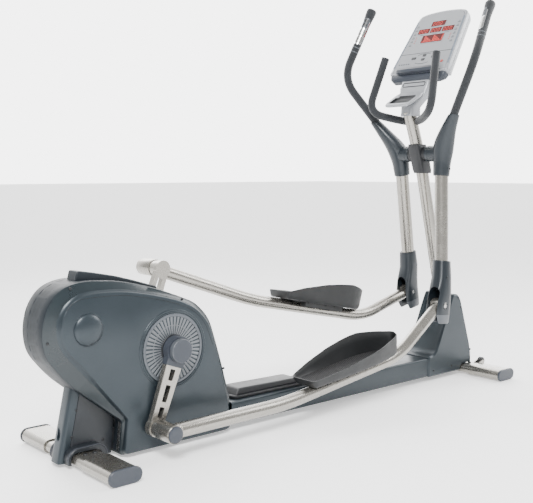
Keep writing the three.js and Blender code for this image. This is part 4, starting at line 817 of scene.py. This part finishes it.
# ------------------------------------------------------------------ swing arms
COVER = catmull([[-96, 6, 120, 33.6, 32.6], [-90, 6, 120, 35.4, 34.6], [-40, 5, 120, 38, 38],
    [10, 0, 124, 43, 44], [50, -10, 136, 41, 43], [100, -27, 163, 33, 34], [150, -41, 194, 25, 25],
    [156, -43, 197, 22.5, 22.5]], 7)
SHROUD_BAND_TOP = -690
for side, sy in SIDES.items():
    place, body = ARM[side], f"{side}_arm"
    out = Vector((0, sy, 0))
    bm = bmesh.new()
    line = [Vector((6, 117, -40)), Vector((20, 156, -558))]
    full = [line[0].lerp(line[1], k / 8) for k in range(9)]
    add_tube(bm, place, full, SWING_SKIN, 48)
    finish_mesh(f"{side}_swing_tube_skin", bm, "silver_paint", body, replaced=[f"{side}_swing_tube"])
    # one-piece upper cover with a joint line and the pivot barrel
    bm = bmesh.new()
    rings = []
    for z, x, y, hx, hy in COVER:
        rings.append([place((x + hx * math.cos(2 * math.pi * k / 40),
            y + hy * math.sin(2 * math.pi * k / 40), z)) for k in range(40)])
    add_loft(bm, rings)
    add_lathe(bm, place((0, 0, 0)), out, [(33.6, 46.6), (34.8, 47.4), (35, 49), (35, 60), (33.9, 60.8),
        (33.9, 62.4), (35, 63.2), (35, 118)], 56)
    finish_mesh(f"{side}_upper_cover_skin", bm, "arm_cover", body, smooth=math.radians(50),
        replaced=[f"{side}_upper_cover"])
    # grip with its end knob, two rings, the pulse plates and the thumb switch
    bend, top = Vector((-93, 316, 366)), Vector((78, 250, 640))
    line = smooth_line([(-35, 180, 127), bend, top], 85, 16)
    axis = (top - bend).normalized()

    bm = bmesh.new()
    add_tube(bm, place, line, GRIP_SKIN, 36)
    d0 = place(top) - place(top - axis)
    add_lathe(bm, place(top), d0, [(18, -66), (18.4, -60), (20.0, -38), (21.8, -20), (22.3, -6), (21.8, 1),
        (20.0, 5), (16.0, 7.4), (8, 8.0), (0.1, 8.0)], 44)
    finish_mesh(f"{side}_handle_skin", bm, "foam_grip", body, smooth=math.radians(50),
        replaced=[f"{side}_handle_grip"])
    bm = bmesh.new()
    ring_at = bend.lerp(top, 0.43)
    for shift in (-14, 8):
        add_lathe(bm, place(ring_at + axis * shift), d0,
            [(17.7, -2.6), (18.5, -2.0), (18.8, 0), (18.5, 2.0), (17.7, 2.6)], 44)
    finish_mesh(f"{side}_grip_rings", bm, "shroud_band", body, smooth=math.radians(50))

    # plates: patches of a cylinder about the grip
    def patch(bm, t0, t1, a0, a1, radius, thick, steps=16, corner=0.0):
        p0, p1 = bend.lerp(top, t0), bend.lerp(top, t1)
        toward_user = Vector((-0.9, -0.42, 0))
        u = (toward_user - axis * toward_user.dot(axis)).normalized()
        v = axis.cross(u)
        shell = []
        for r in (radius, radius + thick):
            for p, trim in ((p0, corner), (p0.lerp(p1, 0.06), 0), (p0.lerp(p1, 0.94), 0), (p1, corner)):
                row = []
                for k in range(steps + 1):
                    a = math.radians(a0 + trim + (a1 - a0 - 2 * trim) * k / steps)
                    row.append(place(p + u * (r * math.cos(a)) + v * (r * math.sin(a))))
                shell.append(row)
        inner, outer = shell[:4], shell[4:]
        loops = []
        for k in range(4):
            loops.append(inner[k] + outer[k][::-1])
        add_loft(bm, loops)
    bm = bmesh.new()
    patch(bm, 0.50, 0.90, -62, 62, 17.0, 2.0, corner=14)
    finish_mesh(f"{side}_pulse_frame", bm, "chrome", body)
    bm = bmesh.new()
    patch(bm, 0.52, 0.61, -50, 50, 17.6, 2.2, corner=8)
    patch(bm, 0.622, 0.71, -50, 50, 17.6, 2.2, corner=8)
    finish_mesh(f"{side}_pulse_plate", bm, "machined_steel", body)
    bm = bmesh.new()
    patch(bm, 0.74, 0.88, -46, 46, 17.6, 2.6, corner=10)
    finish_mesh(f"{side}_thumb_switch", bm, "shroud_band", body)
    bm = bmesh.new()
    patch(bm, 0.765, 0.805, -24, 24, 19.6, 1.6, corner=8)
    patch(bm, 0.82, 0.86, -24, 24, 19.6, 1.6, corner=8)
    finish_mesh(f"{side}_thumb_buttons", bm, "key_plastic", body)

    # lower shroud keeps its CAD shape; its foot is a lighter moulding
    shroud = NODES[f"{side}_lower_shroud"]
    shroud.data.materials.append(M["shroud_band"])
    origin, up = place((0, 0, 0)), (place((0, 0, 1)) - place((0, 0, 0)))
    for face in shroud.data.polygons:
        centre = sum((shroud.data.vertices[i].co for i in face.vertices), Vector()) / len(face.vertices)
        height = (centre - origin).dot(up) / up.length_squared
        if height < SHROUD_BAND_TOP + 2:
            face.material_index = 1
    # pin washers
    low = place((0, LINK_Y_FRONT + 36, -ROCKER_LENGTH))
    bm = bmesh.new()
    add_lathe(bm, low, out, [(9, -1), (15, -1), (15, 0.4), (14.2, 1.0), (9.2, 1.0), (9.2, 0.8)], 44)
    finish_mesh(f"{side}_pin_washer", bm, "machined_steel", body)

side_screws("shroud_screw", [(10, -530), (2, -618)], 192.5, SCREW_RADIUS, "arm", ARM, height=2.0)
side_screws("cover_screw", [(-29, 108)], 196, 4.2, "arm", ARM, height=2.0)
side_screws("cover_screw_low", [(0, 20), (5, -66)], 164, 4.2, "arm", ARM, height=2.0)

# ------------------------------------------------------------------ mast and fixed bar
bm = bmesh.new()
path = catmull([[1622, 111], [1515, 526], [1411, 930], [1366, 1057], [1314, 1191]], 12)
add_tube(bm, MIDDLE, [Vector((x, 0, z)) for x, z in path], MAST_SKIN[0], 44,
    flat=(Vector((0, 1, 0)), MAST_SKIN[1]))
finish_mesh("mast_skin", bm, "silver_paint", "frame", replaced=["mast"])

bm = bmesh.new()
half = [(1345, 40, 1146), (1243, 174, 1188), (1318, 140, 1428)]
pts = [(x, -y, z) for x, y, z in reversed(half)] + half
bar = smooth_line(pts, 72, 14)
add_tube(bm, MIDDLE, bar, BAR_SKIN, 36)
finish_mesh("fixed_bar_skin", bm, "foam_grip", "frame", replaced=["fixed_handlebar"])

# ------------------------------------------------------------------ console
EDGE = [(-159, 0, 18), (159, 0, 18), (132, 330, 22), (92, 345, 40), (0, 352, 60), (-92, 345, 40),
    (-132, 330, 22)]
CHIN_DROP = 32


def con_ring(loop, n):
    return [on_console((p.x, p.y, n)) for p in loop]


edge = rounded(EDGE, 8)
bm = bmesh.new()
add_loft(bm, [con_ring(inset(edge, 26), -64), con_ring(inset(edge, 20), -60.5),
    con_ring(inset(edge, 10), -50), con_ring(inset(edge, 5.5), -40), con_ring(inset(edge, 2), -30),
    con_ring(inset(edge, 1.4), -26), con_ring(inset(edge, 2.6), -25.2), con_ring(inset(edge, 2.6), -23.8),
    con_ring(inset(edge, 1.2), -23), con_ring(edge, -8), con_ring(inset(edge, 0.8), -3.2),
    con_ring(inset(edge, 2.4), -0.9), con_ring(inset(edge, 4.4), 0), con_ring(inset(edge, 12.4), 0.3),
    con_ring(inset(edge, 12.7), -3.4)])
finish_mesh("console_shell", bm, "silver_plastic", "frame", replaced=["console_back"])


def chin_ring(u, w, back, front, r):
    return [on_console((p.x, u, p.y)) for p in box_loop(-w, w, back, front, r)]


bm = bmesh.new()
add_loft(bm, [chin_ring(-0.6, 149.2, -41.2, -2.2, 12), chin_ring(-4, 149.4, -41.4, -2.0, 12),
    chin_ring(-18, 145.4, -39.4, -4.6, 12), chin_ring(2 - CHIN_DROP, 128.4, -34, -10.6, 10),
    chin_ring(0.2 - CHIN_DROP, 126, -32, -12.6, 8)])
finish_mesh("console_chin", bm, "blue_grey_plastic", "frame")


def tile(bm, w0, w1, u0, u1, n0, n1, r=3.0, bevel=0.3, index=0):
    loop = box_loop(w0, w1, u0, u1, r)
    add_loft(bm, [con_ring(loop, n0), con_ring(loop, n1 - bevel), con_ring(inset(loop, bevel), n1)],
        index=index)


T = FACE_TOP
bm = bmesh.new()
WINDOWS = [(-39, 39, 258, 288), (34, 98, 222, 251), (-31, 31, 222, 251), (-98, -34, 222, 251),
    (-60, 60, 168, 212)]
for w0, w1, u0, u1 in WINDOWS:
    tile(bm, w0, w1, u0, u1, T - 0.2, T + 0.9, 4)
finish_mesh("display_windows", bm, "window_red", "frame", replaced=["display_panel"])


def seven(bm, w, u, high, wide, digit):
    """Seven-segment figure standing on the window; w grows to the user's left."""
    t = high * 0.12
    segs = {"a": (0, 1, 1), "g": (0, 0.5, 1), "d": (0, 0, 1), "f": (0, 0.5, 0), "b": (1, 0.5, 0),
        "e": (0, 0, 0), "c": (1, 0, 0)}
    on = {0: "abcdef", 1: "bc", 2: "abged", 3: "abgcd", 4: "fgbc", 5: "afgcd", 6: "afgedc", 7: "abc",
        8: "abcdefg", 9: "abcdfg"}[digit]
    for key in on:
        x, y, flat = segs[key]
        if flat:
            tile(bm, w - wide + t * 0.7, w - t * 0.7, u + y * high - t / 2, u + y * high + t / 2, T + 0.6,
                T + 1.15, t * 0.3, 0.1)
        else:
            ww = w - x * wide
            tile(bm, ww - t / 2, ww + t / 2, u + y * high + t * 0.7, u + y * high + high / 2 - t * 0.7,
                T + 0.6, T + 1.15, t * 0.3, 0.1)


bm = bmesh.new()
for (w, u, high, wide), digits in (((28, 264, 18, 10), (0, 0, 0)), ((90, 228, 17, 9), (0, 0, 0)),
        ((24, 228, 17, 9), (0, 0, 0)), ((-42, 228, 17, 9), (0, 0, 0))):
    for i, digit in enumerate(digits):
        seven(bm, w - i * (wide + 8), u, high, wide, digit)
for i in range(14):
    for j in range(1 + (i * 5) % 6):
        tile(bm, 52 - i * 8 - 5.4, 52 - i * 8, 173 + j * 6, 173 + j * 6 + 4, T + 0.6, T + 1.15, 0.6, 0.1)
finish_mesh("display_segments", bm, "lit_segment", "frame")

bm = bmesh.new()
for w0, w1, u0, u1 in WINDOWS:
    outer, inner = box_loop(w0 - 2, w1 + 2, u0 - 2, u1 + 2, 5), box_loop(w0 + 0.2, w1 - 0.2, u0 + 0.2,
        u1 - 0.2, 4)
    add_loft(bm, [con_ring(outer, T - 0.3), con_ring(outer, T + 1.0), con_ring(inner, T + 1.1),
        con_ring(inner, T + 0.4)], caps=(False, False))
finish_mesh("window_bezels", bm, "silver_plastic", "frame")

# printed marks: plain bars and dots only
bm = bmesh.new()
for sign in (1, -1):
    for i in range(6):
        u = 158 + i * 21
        tile(bm, sign * 112 - 7, sign * 112 + 7, u, u + 5, T - 0.3, T + 0.25, 1, 0.1)
        tile(bm, sign * 112 - 4, sign * 112 + 4, u + 8, u + 11, T - 0.3, T + 0.25, 1, 0.1)
for w in (-66, 0, 66):
    tile(bm, w - 12, w + 12, 214.5, 217.5, T - 0.3, T + 0.25, 1, 0.1)
for k in range(5):
    tile(bm, 66 + k * 13, 74 + k * 13, 52, 58, T - 0.3, T + 0.6, 1.5, 0.2)
finish_mesh("face_marks", bm, "grey_print", "frame")
bm = bmesh.new()
for i in range(4):
    tile(bm, -94 - 3, -94 + 3, 172 + i * 10, 177 + i * 10, T - 0.3, T + 0.25, 2, 0.1)
    tile(bm, 94 - 3, 94 + 3, 172 + i * 10, 177 + i * 10, T - 0.3, T + 0.25, 2, 0.1)
tile(bm, -118, -104, 46, 60, T - 0.3, T + 1.4, 6.5, 0.4)
finish_mesh("face_lamps", bm, "red_print", "frame")
bm = bmesh.new()
DIVIDER_U = 111
tile(bm, -141, 141, DIVIDER_U - 1, DIVIDER_U + 1, T - 0.3, T + 0.5, 0.8, 0.2)
# two arcs above and below the cluster of keys, clear of the keys themselves
for start in (50, 230):
    rows = []
    for k in range(25):
        t = math.radians(start + 80 * k / 24)
        rows.append([on_console((a * math.cos(t), 78 + b * math.sin(t), n)) for a, b,
            n in ((56, 28, T - 0.3), (56, 28, T + 0.5), (54.4, 26.4, T + 0.5), (54.4, 26.4, T - 0.3))])
    add_loft(bm, rows)
finish_mesh("face_lines", bm, "seam_dark", "frame")

# grooved strips down both edges of the face
bm = bmesh.new()
for sign in (1, -1):
    for g in range(4):
        low, high = Vector((sign * (151.5 - g * 2.4), 40)), Vector((sign * (129.5 - g * 2.4), 300))
        rows = []
        for p in (low.lerp(high, t / 6) for t in range(7)):
            rows.append([on_console((p.x + w, p.y, n)) for w,
                n in ((-1, 0), (-0.8, 0.9), (0.8, 0.9), (1, 0))])
        add_loft(bm, rows)
finish_mesh("edge_ribs", bm, "blue_strip", "frame")

# window in the neck
bm = bmesh.new()


def on_neck(w, u, n):
    """On the rear face of the neck, between its lower and upper section."""
    a, b = Vector((1337, 0, 1292)), Vector((1353.4, 0, 1323))
    t = (b - a).normalized()
    out = Vector((-t.z, 0, t.x))
    p = a + t * u + out * n
    return P(p.x, w, p.z)


loop = box_loop(-62, 62, 4, 27, 9)
rows = [[on_neck(p.x, p.y, n) for p in inset(loop, d)] for d,
    n in ((0, -2.0), (0, 0.8), (2.2, 1.4), (4.0, 0.7), (4.4, -0.6))]
add_loft(bm, rows)
finish_mesh("neck_window", bm, "key_plastic", "frame")

# tray: dark liner
TRAY_X, TRAY_RIM, TRAY_SLOPE = 1226, 1214, 0.55
recess = box_loop(TRAY_X + 11, 1304, -56, 56, 12)


def tray_ring(loop, d, z):
    return [P(p.x, p.y, TRAY_RIM + z + (p.x - TRAY_X) * TRAY_SLOPE) for p in inset(loop, d)]


bm = bmesh.new()
add_loft(bm, [tray_ring(recess, 0.8, -0.3), tray_ring(recess, 1.2, -2), tray_ring(recess, 3.4, -10.6),
    tray_ring(recess, 5.0, -11.6)], caps=(False, True))
finish_mesh("tray_liner", bm, "key_plastic", "frame")

# ------------------------------------------------------------------ stabilizers
for stem, x in (("rear", FOOT_X_REAR), ("front", FOOT_X_FRONT)):
    for side, sy in SIDES.items():
        for i, dx in enumerate((-17, 17)):
            screw(f"{side}_{stem}_foot_bolt_{i}", P(x + dx, sy * 82, FOOT_AXIS_Z + 18), (0, 0, 1), 8,
                "frame", height=5)

# light double rim round the sleeve, two thin lines of painted highlight on its flange, and the bright strip
# with its bolt low on the housing's rear wall
for side, sy in SIDES.items():
    bm = bmesh.new()
    for y in (54.5, 59.8):
        rows = []
        for grow, dy in ((-1, 0), (0.35, 0), (0.35, 1.3), (-1, 1.3)):
            r = FOOT_HALF_HEIGHT + SLEEVE_WALL + grow
            row = []
            for k in range(33):
                a = -0.25 + (math.pi + 0.5) * k / 32
                row.append(P(FOOT_X_REAR + 4 + r * math.cos(a) + math.copysign(FOOT_HALF_FLAT, math.cos(a)),
                    sy * (y + dy), FOOT_AXIS_Z + r * math.sin(a)))
            rows.append(row)
        add_loft(bm, [[row[k] for row in rows] for k in range(33)])
    finish_mesh(f"{side}_sleeve_highlight_lines", bm, "grey_print", "frame")
    wall = lambda z: -202 + (z - 8) * 0.105
    bm = bmesh.new()
    add_loft(bm, [[P(wall(z) + dx, sy * y, z) for dx, y in ((0.3, 48), (-1.2, 48), (-1.2, 62),
        (0.3, 62))] for z in (24, 116)])
    finish_mesh(f"{side}_wall_strip", bm, "machined_steel", "frame")
    screw(f"{side}_wall_bolt", P(wall(70) - 1, sy * 55, 70), (-1, 0, 0), 5, "frame")

# ------------------------------------------------------------------ seams
bm = bmesh.new()
edge = rounded(HOUSING_EDGE)
for y in (-10, 10):
    ring = inset(edge, 0.15)
    add_loft(bm, [[P(p.x, y - 0.8, p.y) for p in ring], [P(p.x, y + 0.8, p.y) for p in ring]],
        caps=(False, False))
finish_mesh("band_seams", bm, "seam_dark", "frame")
